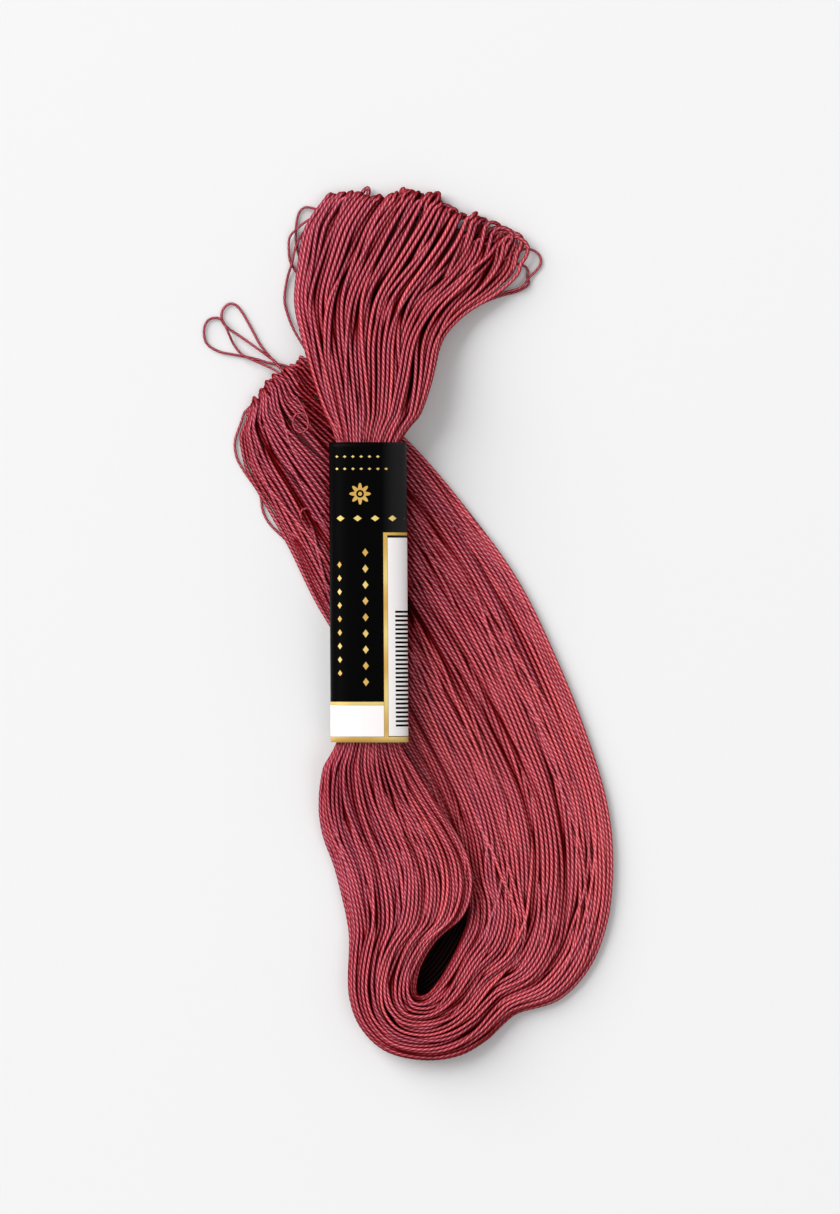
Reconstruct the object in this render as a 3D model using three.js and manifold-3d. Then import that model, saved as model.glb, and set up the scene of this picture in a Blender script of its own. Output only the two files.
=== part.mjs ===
// A skein of cotton embroidery floss: one long thread wound into a closed hank, pressed flat into
// a band, held by a paper sleeve and folded once, so that the front arm lies over the back arm.
// Millimetres, +Z up. The skein lies on the plane Z = 0, with its origin under the middle of its
// box, its long side along Y and the front arm's open loops at +Y.

import * as THREE from 'three';
import Module from 'manifold-3d';
import { mergeVertices } from 'three/addons/utils/BufferGeometryUtils.js';

const wasm = await Module();
wasm.setup();

// ---- Driving dimensions -------------------------------------------------------------------------

const STRAND_WIDTH = 0.5;        // one turn of thread, as the square strand of a stray loop
const STATION_PITCH = 2.5;       // length of the hank between two of its sections
const LOCK_COUNT = 13;           // bundles of thread that show as ridges across the band
const FURROW_DEPTH = 0.34;       // how far the hollow between two bundles lies below them
const BUNDLE_WANDER = 0.013;     // how far a furrow strays sideways, as a share of the width
const BUNDLE_HEAVE = 0.13;       // how far one bundle rises over or sinks under its neighbours
const UNDERSIDE_POINTS = 8;      // points across the underside, between the two edges
const EDGE_LEVEL = 0.36;         // height of the band's rounded edge, as a share of its thickness
const FLAT_SHARE = 0.62;         // share of the underside's width that is flat
const CROWN_POWER = 3;           // how squarely the top falls off towards the edges
const END_ROUNDING = 0.9;        // length over which the looped ends round off
const END_THICKNESS = 0.3;       // share of the thickness that is left at their very tips
const END_STEPS = [0.5, 0.8, 0.97];

// The slow waves by which the bundles differ: radians from one bundle to the next, and from one row
// of the table to the next.
const WAVES = {
  heave: { perBundle: 3.1, perRow: 0.42 },
  wander: { perBundle: 1.9, perRow: 0.35 },
  depth: { perBundle: 8.7, perRow: 0.3, share: 0.35 },
};

// The band's path as sections, in the order in which the thread runs. outer and inner are the two
// edges of the band in X and Y; bow is how far the middle of the section stands ahead of the line
// between them, towards the head; rise is the height of the underside at those two edges.
const SECTIONS = [
  { at: 'head rim', outer: [-9.9, 48.6], inner: [13.4, 42.7], bow: 2.6, rise: [0.0, 0.0], thick: 2.2 },
  { at: 'head', outer: [-11.8, 45.8], inner: [12.9, 40.4], bow: 2.5, rise: [0.0, 0.0], thick: 2.7 },
  { at: 'head', outer: [-12.7, 41.6], inner: [10.3, 37.9], bow: 2.0, rise: [0.2, 0.1], thick: 2.8 },
  { at: 'head', outer: [-13.1, 37.0], inner: [6.6, 35.6], bow: 1.0, rise: [1.0, 0.6], thick: 2.9 },
  { at: 'neck', outer: [-12.1, 32.3], inner: [4.1, 32.7], bow: 0.3, rise: [2.1, 1.6], thick: 3.0 },
  { at: 'neck', outer: [-10.9, 28.0], inner: [2.9, 28.2], bow: 0.0, rise: [2.6, 2.3], thick: 3.1 },
  { at: 'neck', outer: [-9.5, 23.9], inner: [1.4, 24.0], bow: 0.0, rise: [2.9, 2.8], thick: 3.0 },
  { at: 'sleeve', outer: [-8.3, 21.0], inner: [-0.8, 21.0], bow: 0.0, rise: [3.0, 3.0], thick: 2.7 },
  { at: 'sleeve', outer: [-8.3, 4.0], inner: [-0.8, 4.0], bow: 0.0, rise: [2.7, 2.7], thick: 2.7 },
  { at: 'sleeve', outer: [-8.2, -13.4], inner: [-0.8, -13.4], bow: 0.0, rise: [2.4, 2.4], thick: 2.7 },
  { at: 'bulge', outer: [-9.7, -16.2], inner: [0.6, -16.0], bow: 0.0, rise: [1.6, 2.0], thick: 2.8 },
  { at: 'bulge', outer: [-10.3, -20.6], inner: [2.9, -19.7], bow: 0.0, rise: [0.6, 1.6], thick: 2.5 },
  { at: 'bulge', outer: [-9.9, -24.0], inner: [5.3, -23.3], bow: 0.0, rise: [0.2, 1.6], thick: 2.2 },
  { at: 'bulge', outer: [-8.6, -27.6], inner: [7.0, -26.8], bow: 0.0, rise: [0.0, 1.5], thick: 2.1 },
  { at: 'bulge', outer: [-7.6, -31.4], inner: [7.3, -30.0], bow: 0.0, rise: [0.0, 1.3], thick: 2.3 },
  { at: 'bulge', outer: [-6.9, -35.0], inner: [6.2, -33.4], bow: 0.0, rise: [0.0, 1.0], thick: 2.7 },
  { at: 'fold', outer: [-6.9, -38.4], inner: [3.6, -36.2], bow: 0.0, rise: [0.0, 0.3], thick: 3.3 },
  { at: 'fold', outer: [-6.9, -42.2], inner: [1.7, -39.2], bow: 0.0, rise: [0.0, 0.0], thick: 3.8 },
  { at: 'fold', outer: [-5.7, -45.9], inner: [1.0, -41.3], bow: 0.0, rise: [0.0, 0.0], thick: 4.1 },
  { at: 'fold', outer: [-2.7, -48.9], inner: [1.2, -42.1], bow: 0.0, rise: [0.0, 0.0], thick: 4.2 },
  { at: 'fold', outer: [2.0, -50.0], inner: [2.0, -42.1], bow: 0.0, rise: [0.0, 0.0], thick: 4.1 },
  { at: 'fold', outer: [6.2, -49.4], inner: [3.0, -41.2], bow: 0.0, rise: [0.0, 0.0], thick: 3.7 },
  { at: 'fold', outer: [9.5, -47.4], inner: [3.6, -39.8], bow: 0.0, rise: [0.0, 0.0], thick: 3.2 },
  { at: 'fan', outer: [12.2, -44.9], inner: [4.3, -37.7], bow: 0.0, rise: [0.0, 0.0], thick: 2.7 },
  { at: 'fan', outer: [17.4, -43.1], inner: [5.2, -34.3], bow: 0.0, rise: [0.0, 0.0], thick: 2.2 },
  { at: 'fan', outer: [20.8, -39.6], inner: [5.6, -30.9], bow: 0.0, rise: [0.0, 0.0], thick: 2.0 },
  { at: 'fan', outer: [22.9, -34.4], inner: [5.2, -27.4], bow: 0.0, rise: [0.0, 0.0], thick: 1.9 },
  { at: 'fan', outer: [23.6, -27.2], inner: [4.1, -23.6], bow: 0.0, rise: [0.0, 0.0], thick: 1.8 },
  { at: 'fan', outer: [22.9, -20.4], inner: [2.2, -19.0], bow: 0.0, rise: [0.0, 0.0], thick: 1.7 },
  { at: 'back arm', outer: [20.4, -12.1], inner: [-1.3, -12.9], bow: 0.0, rise: [0.0, 0.0], thick: 1.7 },
  { at: 'back arm', outer: [16.9, -3.4], inner: [-5.7, -5.4], bow: 0.0, rise: [0.0, 0.0], thick: 1.7 },
  { at: 'back arm', outer: [12.7, 5.1], inner: [-10.6, 2.5], bow: 0.0, rise: [0.0, 0.0], thick: 1.7 },
  { at: 'back arm', outer: [6.9, 13.2], inner: [-13.8, 9.0], bow: 0.0, rise: [0.0, 0.0], thick: 1.7 },
  { at: 'back arm', outer: [0.8, 20.4], inner: [-16.7, 13.6], bow: 0.0, rise: [0.0, 0.0], thick: 1.8 },
  { at: 'tail', outer: [-4.1, 24.8], inner: [-19.1, 17.9], bow: 0.0, rise: [0.0, 0.0], thick: 1.9 },
  { at: 'tail', outer: [-8.0, 28.0], inner: [-19.8, 21.2], bow: 0.2, rise: [0.0, 0.0], thick: 1.9 },
  { at: 'tail rim', outer: [-10.6, 29.4], inner: [-18.4, 23.2], bow: 0.2, rise: [0.0, 0.0], thick: 1.6 },
];

// How far each bundle of loops reaches past the rim, from the outer edge to the inner one.
const HEAD_REACH = [0.1, 0.1, -0.6, -0.9, 0.2, 0.6, 0.6, -0.1, -1.2, -0.8, -0.4, 0.1, 0.4];
const TAIL_REACH = [0.4, -0.1, 0.2, 0.3, -0.1, 0.3, 0.1, 0.4, 0.0, 0.3, 0.2, -0.2, 0.1];
const REACH_FADE = 5;            // sections over which that unevenness fades towards the neck

// The paper sleeve: a flattened tube round the front arm, lying on the back arm, lower at its foot.
const SLEEVE = {
  width: 8.9, height: 4.1, wall: 0.3, headY: 20.9, footY: -13.4, headX: -4.6, footX: -4.4,
  headLevel: 2.3, footLevel: 1.7, squareness: 2.7, facets: 44,
};

// Single turns of thread that stand off the band and lie on the surface, as points in X and Y.
const STRAY_LOOPS = {
  stray_loops_tail: [
    [[-14.9, 28.2], [-15.7, 29.5], [-17.3, 31.8], [-18.3, 34.4], [-19.5, 36.3], [-20.7, 36.8],
      [-21.3, 35.7], [-20.6, 34.0], [-18.9, 32.8], [-17.2, 31.4], [-15.3, 30.0], [-14.2, 29.1]],
    [[-13.3, 30.0], [-15.2, 30.5], [-18.0, 30.9], [-19.5, 31.2], [-20.3, 33.0], [-21.2, 34.8],
      [-22.3, 35.2], [-23.3, 34.1], [-23.2, 32.6], [-21.7, 31.3], [-19.1, 30.5], [-16.3, 29.8],
      [-14.2, 29.1]],
  ],
  stray_loop_head_left: [
    [[-10.9, 47.5], [-12.0, 47.4], [-12.9, 46.2], [-13.6, 44.2], [-13.4, 42.0]],
  ],
  stray_loop_head_left_long: [
    [[-12.6, 41.3], [-13.8, 38.8], [-14.0, 36.0], [-13.3, 34.0], [-12.4, 32.6]],
  ],
  stray_loop_head_right: [
    [[13.9, 43.0], [15.0, 42.2], [14.9, 40.6], [13.7, 39.3], [12.0, 38.6]],
  ],
};
const STRAY_STEPS_PER_POINT = 3;

// ---- Finishes -----------------------------------------------------------------------------------

const floss = new THREE.MeshStandardMaterial({ color: 0xaa3c4b, roughness: 0.62, metalness: 0 });
const blackPaper = new THREE.MeshStandardMaterial({ color: 0x0d0b0d, roughness: 0.35, metalness: 0 });

// ---- Closed surfaces ----------------------------------------------------------------------------

// Joins rings of equal length into one closed skin, with a cap over each end.
function closedSweep(rings) {
  const size = rings[0].length;
  const positions = rings.flat().flatMap((point) => [point.x, point.y, point.z]);
  const last = (rings.length - 1) * size;
  const index = [];
  for (let ring = 0; ring < rings.length - 1; ring++) {
    for (let side = 0; side < size; side++) {
      const a = ring * size + side;
      const b = ring * size + (side + 1) % size;
      index.push(a, b, a + size, b, b + size, a + size);
    }
  }
  for (const [a, b, c] of capOf(rings[0])) index.push(a, c, b);
  for (const [a, b, c] of capOf(rings.at(-1))) index.push(last + a, last + b, last + c);
  const geometry = new THREE.BufferGeometry();
  geometry.setAttribute('position', new THREE.Float32BufferAttribute(positions, 3));
  geometry.setIndex(signedVolume(positions, index) < 0 ? index.reverse() : index);
  return geometry;
}

// Closes a ring by zipping its first half to its second, along the shorter diagonal each time.
function capOf(ring) {
  const triangles = [];
  let ahead = 0;
  let behind = ring.length - 1;
  while (ahead + 1 < behind) {
    const advance = ring[ahead + 1].distanceTo(ring[behind]);
    const retreat = ring[ahead].distanceTo(ring[behind - 1]);
    if (advance <= retreat) {
      triangles.push([ahead, ahead + 1, behind]);
      ahead += 1;
    } else {
      triangles.push([ahead, behind - 1, behind]);
      behind -= 1;
    }
  }
  return triangles;
}

function signedVolume(positions, index) {
  const corner = (i) => new THREE.Vector3().fromArray(positions, 3 * index[i]);
  let volume = 0;
  for (let i = 0; i < index.length; i += 3) {
    volume += corner(i).dot(corner(i + 1).cross(corner(i + 2))) / 6;
  }
  return volume;
}

// ---- The hank -----------------------------------------------------------------------------------

const curve = (points) => new THREE.CatmullRomCurve3(points, false, 'centripetal');
const outerEdge = curve(SECTIONS.map((row) => new THREE.Vector3(...row.outer, row.rise[0])));
const innerEdge = curve(SECTIONS.map((row) => new THREE.Vector3(...row.inner, row.rise[1])));
const build = curve(SECTIONS.map((row) => new THREE.Vector3(row.bow, row.thick, 0)));

// Where the sections lie along the table: a row's number plus the share of the way to the next.
function stations() {
  const places = [0];
  for (let row = 0; row < SECTIONS.length - 1; row++) {
    const [here, next] = [SECTIONS[row], SECTIONS[row + 1]];
    const outerRun = Math.hypot(next.outer[0] - here.outer[0], next.outer[1] - here.outer[1]);
    const innerRun = Math.hypot(next.inner[0] - here.inner[0], next.inner[1] - here.inner[1]);
    const steps = Math.max(1, Math.round(Math.max(outerRun, innerRun) / STATION_PITCH));
    for (let step = 1; step <= steps; step++) places.push(row + step / steps);
  }
  return places;
}

const wave = ({ perBundle, perRow }, bundle, place) => Math.sin(perBundle * bundle + perRow * place);

// The share of the width at which a column of points runs; every third column is a furrow.
function across(column, place) {
  const even = column / (3 * LOCK_COUNT);
  const sway = wave(WAVES.wander, Math.floor(column / 3), place);
  return even + BUNDLE_WANDER * sway * Math.sin(Math.PI * even);
}

// How high a column of points stands over the band's smooth crown: its bundle heaves slowly along
// the run, and a furrow is cut between two bundles.
function relief(column, place) {
  const bundle = Math.floor(Math.min(column, 3 * LOCK_COUNT - 1) / 3);
  const heave = BUNDLE_HEAVE * wave(WAVES.heave, bundle, place);
  const { share } = WAVES.depth;
  const depth = FURROW_DEPTH * (1 - share + share * wave(WAVES.depth, column / 3, place));
  return column % 3 ? heave : heave - depth;
}

// How far the loops reach past the rim at a share of the width, blended between the bundles.
function reachAt(table, u) {
  const spot = THREE.MathUtils.clamp(u * LOCK_COUNT - 0.5, 0, LOCK_COUNT - 1.001);
  const bundle = Math.floor(spot);
  return THREE.MathUtils.lerp(table[bundle], table[bundle + 1], spot - bundle);
}

// One section: the ridged top from the outer edge to the inner one, then the underside back.
// rounding runs from 0 on the band to 1 at the very tip of a looped end.
function section(place, rounding) {
  const share = place / (SECTIONS.length - 1);
  const [outer, inner, shape] = [outerEdge, innerEdge, build].map((line) => line.getPoint(share));
  const { x: bow, y: fullThickness } = shape;
  const chord = inner.clone().sub(outer);
  const ahead = new THREE.Vector3(-chord.y, chord.x, 0).normalize();
  const rowsToTail = SECTIONS.length - 1 - place;
  const towardsEnd = place < rowsToTail ? 1 : -1;
  const thin = Math.sqrt(1 - rounding * rounding);
  const thick = fullThickness * THREE.MathUtils.lerp(END_THICKNESS, 1, thin);
  const lift = EDGE_LEVEL * (fullThickness - thick) / 2;

  function at(u, height) {
    const headReach = reachAt(HEAD_REACH, u) * Math.max(0, 1 - place / REACH_FADE) ** 2;
    const tailReach = reachAt(TAIL_REACH, u) * Math.max(0, 1 - rowsToTail / REACH_FADE) ** 2;
    const bowed = bow * Math.sin(Math.PI * u) + END_ROUNDING * rounding;
    const spot = outer.clone().lerp(inner, u)
      .addScaledVector(ahead, towardsEnd * bowed + headReach - tailReach);
    return spot.setZ(Math.max(0, spot.z) + lift + height);
  }

  const ring = [];
  for (let column = 0; column <= 3 * LOCK_COUNT; column++) {
    const u = across(column, place);
    const crown = Math.sqrt(Math.max(0, 1 - Math.abs(2 * u - 1) ** CROWN_POWER));
    const smooth = thick * THREE.MathUtils.lerp(EDGE_LEVEL, 1, crown);
    ring.push(at(u, smooth + relief(column, place) * crown * thin));
  }
  for (let column = UNDERSIDE_POINTS; column >= 1; column--) {
    const u = column / (UNDERSIDE_POINTS + 1);
    const curl = Math.max(0, Math.abs(2 * u - 1) - FLAT_SHARE) / (1 - FLAT_SHARE);
    ring.push(at(u, thick * EDGE_LEVEL * curl ** 2));
  }
  return ring;
}

function hank() {
  return closedSweep([
    ...END_STEPS.toReversed().map((rounding) => section(0, rounding)),
    ...stations().map((place) => section(place, 0)),
    ...END_STEPS.map((rounding) => section(SECTIONS.length - 1, rounding)),
  ]);
}

// ---- The sleeve ---------------------------------------------------------------------------------

// A flattened oval whose corners are fuller than an ellipse's.
function ovalPath(width, height) {
  const points = [];
  for (let facet = 0; facet < SLEEVE.facets; facet++) {
    const turn = 2 * Math.PI * facet / SLEEVE.facets;
    const round = (value) => Math.sign(value) * Math.abs(value) ** (2 / SLEEVE.squareness);
    points.push(new THREE.Vector2(width / 2 * round(Math.cos(turn)), height / 2 * round(Math.sin(turn))));
  }
  return points;
}

function sleeve() {
  const run = SLEEVE.headY - SLEEVE.footY;
  const drop = SLEEVE.headLevel - SLEEVE.footLevel;
  const outline = new THREE.Shape(ovalPath(SLEEVE.width, SLEEVE.height));
  const bore = ovalPath(SLEEVE.width - 2 * SLEEVE.wall, SLEEVE.height - 2 * SLEEVE.wall);
  outline.holes.push(new THREE.Path(bore));
  const length = Math.hypot(run, drop);
  const geometry = new THREE.ExtrudeGeometry(outline, { depth: length, bevelEnabled: false });
  geometry.rotateX(Math.PI / 2);
  geometry.translate(0, length / 2, 0);
  return geometry;
}

// ---- Stray loops --------------------------------------------------------------------------------

// A square strand lying on the surface along a smooth line through the points. It may cross itself,
// so its two legs are closed apart, face to face in the middle.
function legsOf(points) {
  const line = curve(points.map(([x, y]) => new THREE.Vector3(x, y, 0)));
  const steps = STRAY_STEPS_PER_POINT * (points.length - 1);
  const half = STRAND_WIDTH / 2;
  const corners = [[-half, 0], [half, 0], [half, STRAND_WIDTH], [-half, STRAND_WIDTH]];
  const rings = [];
  for (let step = 0; step <= steps; step++) {
    const centre = line.getPoint(step / steps);
    const along = line.getTangent(step / steps);
    const sideways = new THREE.Vector3(-along.y, along.x, 0);
    rings.push(corners.map(([side, height]) => centre.clone()
      .addScaledVector(sideways, side).setZ(height)));
  }
  const middle = Math.floor(steps / 2);
  return [closedSweep(rings.slice(0, middle + 1)), closedSweep(rings.slice(middle))];
}

function toSolid(geometry) {
  const merged = mergeVertices(geometry);
  return new wasm.Manifold(new wasm.Mesh({
    numProp: 3,
    vertProperties: Float32Array.from(merged.attributes.position.array),
    triVerts: Uint32Array.from(merged.index.array),
  }));
}

function toGeometry(solid) {
  const mesh = solid.getMesh();
  const geometry = new THREE.BufferGeometry();
  geometry.setAttribute('position', new THREE.BufferAttribute(mesh.vertProperties, 3));
  geometry.setIndex(new THREE.BufferAttribute(mesh.triVerts, 1));
  return geometry;
}

// The legs of stray loops meet at their tips and cross on the surface, where they are joined.
function strayLoops(turns) {
  return toGeometry(turns.flatMap(legsOf).map(toSolid).reduce((a, b) => a.add(b)));
}

// ---- Assembly -----------------------------------------------------------------------------------

const group = new THREE.Group();

function place(name, geometry, material) {
  const mesh = new THREE.Mesh(geometry, material);
  mesh.name = name;
  group.add(mesh);
  return mesh;
}

place('hank', hank(), floss);

const label = place('label_sleeve', sleeve(), blackPaper);
label.position.set(
  (SLEEVE.headX + SLEEVE.footX) / 2,
  (SLEEVE.headY + SLEEVE.footY) / 2,
  (SLEEVE.headLevel + SLEEVE.footLevel + SLEEVE.height) / 2,
);
label.rotation.set(
  Math.atan2(SLEEVE.headLevel - SLEEVE.footLevel, SLEEVE.headY - SLEEVE.footY),
  0,
  Math.atan2(SLEEVE.footX - SLEEVE.headX, SLEEVE.headY - SLEEVE.footY),
);

for (const [name, turns] of Object.entries(STRAY_LOOPS)) place(name, strayLoops(turns), floss);

export default group;
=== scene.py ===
"""A folded skein of embroidery floss on a pale table: each turn of its plied thread, and a paper
sleeve.

The skein is one long thread wound into TURNS closed loops, pressed flat and folded once. Each turn
runs from the open head, through the sleeve, round the fold, up the lower arm to the tail and back.
Lengths in the tables are millimetres in the frame's axes; meshes are made in metres.
"""

import math

import bpy
import numpy as np
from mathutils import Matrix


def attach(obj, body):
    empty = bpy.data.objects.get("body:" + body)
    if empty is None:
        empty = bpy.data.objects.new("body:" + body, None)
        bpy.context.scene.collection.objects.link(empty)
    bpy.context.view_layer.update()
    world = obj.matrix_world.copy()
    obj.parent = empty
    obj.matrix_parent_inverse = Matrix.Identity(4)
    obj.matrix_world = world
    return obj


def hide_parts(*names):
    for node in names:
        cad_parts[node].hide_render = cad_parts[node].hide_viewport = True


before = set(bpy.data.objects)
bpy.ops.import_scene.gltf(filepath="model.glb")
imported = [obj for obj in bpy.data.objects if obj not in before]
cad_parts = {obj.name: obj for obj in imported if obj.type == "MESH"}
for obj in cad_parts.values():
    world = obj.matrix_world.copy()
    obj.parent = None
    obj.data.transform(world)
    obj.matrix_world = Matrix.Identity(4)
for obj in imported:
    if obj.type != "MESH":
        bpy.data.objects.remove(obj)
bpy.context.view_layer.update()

MM = 0.001

# ---- Camera ----

FRAME_PIXELS = (840, 1214)
PIXEL = 0.115  # millimetres to one pixel of the frame
VIEW_CENTRE = (1.38, 2.07)  # the spot under the camera
CAMERA_HEIGHT = 900.0
SENSOR_HEIGHT = 36.0
NEAREST, FARTHEST = 0.01, 10.0  # what the camera sees, in metres


def in_scene(name, data):
    """A new object of that name for a mesh, a light or a camera, put into the scene."""
    obj = bpy.data.objects.new(name, data)
    bpy.context.scene.collection.objects.link(obj)
    return obj


def make_camera():
    """An upright view from straight above that frames FRAME_PIXELS at PIXEL millimetres each."""
    data = bpy.data.cameras.new("camera")
    data.sensor_fit = "VERTICAL"
    data.sensor_height = SENSOR_HEIGHT
    data.lens = SENSOR_HEIGHT * CAMERA_HEIGHT / (FRAME_PIXELS[1] * PIXEL)
    data.clip_start, data.clip_end = NEAREST, FARTHEST
    camera = in_scene("camera", data)
    camera.location = (VIEW_CENTRE[0] * MM, VIEW_CENTRE[1] * MM, CAMERA_HEIGHT * MM)
    bpy.context.scene.camera = camera


make_camera()

# ---- The band: its sections, as in the solids ----

# outer x, outer y, inner x, inner y, bow, rise at outer, rise at inner, thick
SECTIONS = np.array([
    (-9.9, 48.6, 13.4, 42.7, 2.6, 0.0, 0.0, 2.2),      # head rim
    (-11.8, 45.8, 12.9, 40.4, 2.5, 0.0, 0.0, 2.7),
    (-12.7, 41.6, 10.3, 37.9, 2.0, 0.2, 0.1, 2.8),
    (-13.1, 37.0, 6.6, 35.6, 1.0, 1.0, 0.6, 2.9),
    (-12.1, 32.3, 4.1, 32.7, 0.3, 2.1, 1.6, 3.0),      # neck
    (-10.9, 28.0, 2.9, 28.2, 0.0, 2.6, 2.3, 3.1),
    (-9.5, 23.9, 1.4, 24.0, 0.0, 2.9, 2.8, 3.0),
    (-8.3, 21.0, -0.8, 21.0, 0.0, 3.0, 3.0, 2.7),      # sleeve
    (-8.3, 4.0, -0.8, 4.0, 0.0, 2.7, 2.7, 2.7),
    (-8.2, -13.4, -0.8, -13.4, 0.0, 2.4, 2.4, 2.7),
    (-9.7, -16.2, 0.6, -16.0, 0.0, 1.6, 2.0, 2.8),     # bulge
    (-10.3, -20.6, 2.9, -19.7, 0.0, 0.6, 1.6, 2.5),
    (-9.9, -24.0, 5.3, -23.3, 0.0, 0.2, 1.6, 2.2),
    (-8.6, -27.6, 7.0, -26.8, 0.0, 0.0, 1.5, 2.1),
    (-7.6, -31.4, 7.4, -30.2, 0.0, 0.0, 1.4, 2.3),
    (-6.9, -35.0, 6.4, -33.3, 0.0, 0.0, 1.0, 2.7),
    (-6.9, -38.4, 3.4, -36.1, 0.0, 0.0, 0.3, 3.3),     # fold
    (-6.9, -42.2, 1.6, -39.0, 0.0, 0.0, 0.0, 3.8),
    (-5.7, -45.9, 1.0, -41.6, 0.0, 0.0, 0.0, 4.1),
    (-2.7, -48.9, 1.2, -42.4, 0.0, 0.0, 0.0, 4.2),
    (2.0, -50.0, 2.1, -42.3, 0.0, 0.0, 0.0, 4.1),
    (6.2, -49.4, 3.2, -41.2, 0.0, 0.0, 0.0, 3.7),
    (9.5, -47.4, 4.3, -39.5, 0.0, 0.0, 0.0, 3.2),
    (12.2, -44.9, 5.6, -37.0, 0.0, 0.0, 0.0, 2.7),     # fan
    (17.4, -43.1, 6.8, -33.7, 0.0, 0.0, 0.0, 2.2),
    (20.8, -39.6, 6.6, -30.4, 0.0, 0.0, 0.0, 2.0),
    (22.9, -34.4, 5.2, -27.4, 0.0, 0.0, 0.0, 1.9),
    (23.6, -27.2, 4.1, -23.6, 0.0, 0.0, 0.0, 1.8),
    (22.9, -20.4, 2.2, -19.0, 0.0, 0.0, 0.0, 1.7),
    (20.4, -12.1, -1.3, -12.9, 0.0, 0.0, 0.0, 1.7),    # back arm
    (16.9, -3.4, -5.7, -5.4, 0.0, 0.0, 0.0, 1.7),
    (12.7, 5.1, -10.6, 2.5, 0.0, 0.0, 0.0, 1.7),
    (6.9, 13.2, -13.8, 9.0, 0.0, 0.0, 0.0, 1.7),
    (0.8, 20.4, -16.2, 13.3, 0.0, 0.0, 0.0, 1.8),
    (-4.1, 24.8, -18.6, 17.6, 0.0, 0.0, 0.0, 1.9),     # tail
    (-7.7, 27.5, -19.2, 20.0, 0.0, 0.0, 0.0, 2.0),
    (-9.9, 29.1, -19.3, 21.8, 0.0, 0.0, 0.0, 2.1),
    (-11.2, 30.3, -18.5, 23.6, 0.3, 0.0, 0.0, 2.1),     # tail rim
])
SLEEVE_ROWS = (7, 9)  # the rows of the table that lie inside the sleeve
# How far each bundle's loops stand out of the head's and the tail's rim, from outer to inner edge.
HEAD_REACH = [0.3, 0.3, -0.4, -0.3, 0.4, 0.7, 0.7, -0.9, -0.8, 0.0, 0.1, 0.1, 0.3]
TAIL_REACH = [0.4, -0.1, 0.2, 0.3, -0.1, 0.3, 0.1, 0.4, 0.0, 0.3, 0.2, -0.2, 0.1]
STATION_PITCH = 1.3  # length of the band between two worked-out sections
MIDDLE_SHARE = 0.85  # the band's length against that of its longer edge
LEAST_SLANT = 0.35  # least share of a section's width that counts as across the band


def spline(points, t):
    """A centripetal Catmull-Rom curve through the points at t, a point's number plus a share of
    the way to the next; a slope weighs its two neighbours by the root of their distance."""
    points = np.asarray(points, float)
    first, last = 2 * points[:1] - points[1:2], 2 * points[-1:] - points[-2:-1]
    padded = np.vstack([first, points, last])
    row = np.clip(np.floor(t).astype(int), 0, len(points) - 2)
    w = (t - row)[:, None]
    p0, p1, p2, p3 = (padded[row + k] for k in range(4))
    d0, d1, d2 = (np.sqrt(np.maximum(np.linalg.norm(b - a, axis=1), 1e-8))[:, None]
                  for a, b in ((p0, p1), (p1, p2), (p2, p3)))
    m1 = d1 * ((p1 - p0) / d0 - (p2 - p0) / (d0 + d1) + (p2 - p1) / d1)
    m2 = d1 * ((p2 - p1) / d1 - (p3 - p1) / (d1 + d2) + (p3 - p2) / d2)
    c2, c3 = 3 * (p2 - p1) - 2 * m1 - m2, 2 * (p1 - p2) + m1 + m2
    return p1 + w * (m1 + w * (c2 + w * c3))


def band_stations():
    """The band's sections at about STATION_PITCH: a dict of arrays with one row a station."""
    outer = SECTIONS[:, [0, 1, 5]]
    inner = SECTIONS[:, [2, 3, 6]]
    run = np.maximum(np.linalg.norm(np.diff(outer[:, :2], axis=0), axis=1),
                     np.linalg.norm(np.diff(inner[:, :2], axis=0), axis=1))
    steps = np.maximum(1, np.round(MIDDLE_SHARE * run / STATION_PITCH)).astype(int)
    t = np.concatenate([row + np.arange(n) / n for row, n in enumerate(steps)] + [[len(steps)]])
    shape = spline(SECTIONS[:, [4, 7]], t)
    o, i = spline(outer, t), spline(inner, t)
    chord = (i - o)[:, :2]
    width = np.linalg.norm(chord, axis=1)
    ahead = np.column_stack([-chord[:, 1], chord[:, 0]]) / width[:, None]
    middle = (o + i)[:, :2] / 2
    along = np.gradient(middle, axis=0)
    along /= np.linalg.norm(along, axis=1)[:, None]
    slant = np.abs(along[:, 0] * ahead[:, 0] + along[:, 1] * ahead[:, 1])
    return dict(t=t, outer=o, inner=i, width=width, ahead=ahead, bow=shape[:, 0],
                thick=shape[:, 1], across=width * np.clip(slant, LEAST_SLANT, 1))


BAND = band_stations()
STATIONS = len(BAND["t"])


def in_space(u, z):
    """Points of the band: u from the outer edge (0) to the inner one (1), z over the underside. A
    section is straight but for its bow, a half wave towards the nearer rim."""
    o, i = BAND["outer"][:, None], BAND["inner"][:, None]
    flat = o[..., :2] * (1 - u[..., None]) + i[..., :2] * u[..., None]
    towards = np.where(BAND["t"] < len(SECTIONS) - 1 - BAND["t"], 1.0, -1.0)
    bow = BAND["bow"][:, None] * towards[:, None] * np.sin(np.pi * np.clip(u, 0, 1))
    flat = flat + BAND["ahead"][:, None] * bow[..., None]
    rise = np.maximum(0, o[..., 2] * (1 - u) + i[..., 2] * u)
    return np.concatenate([flat, (rise + z)[..., None]], axis=2)


# ---- Where each strand lies in the band ----

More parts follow.
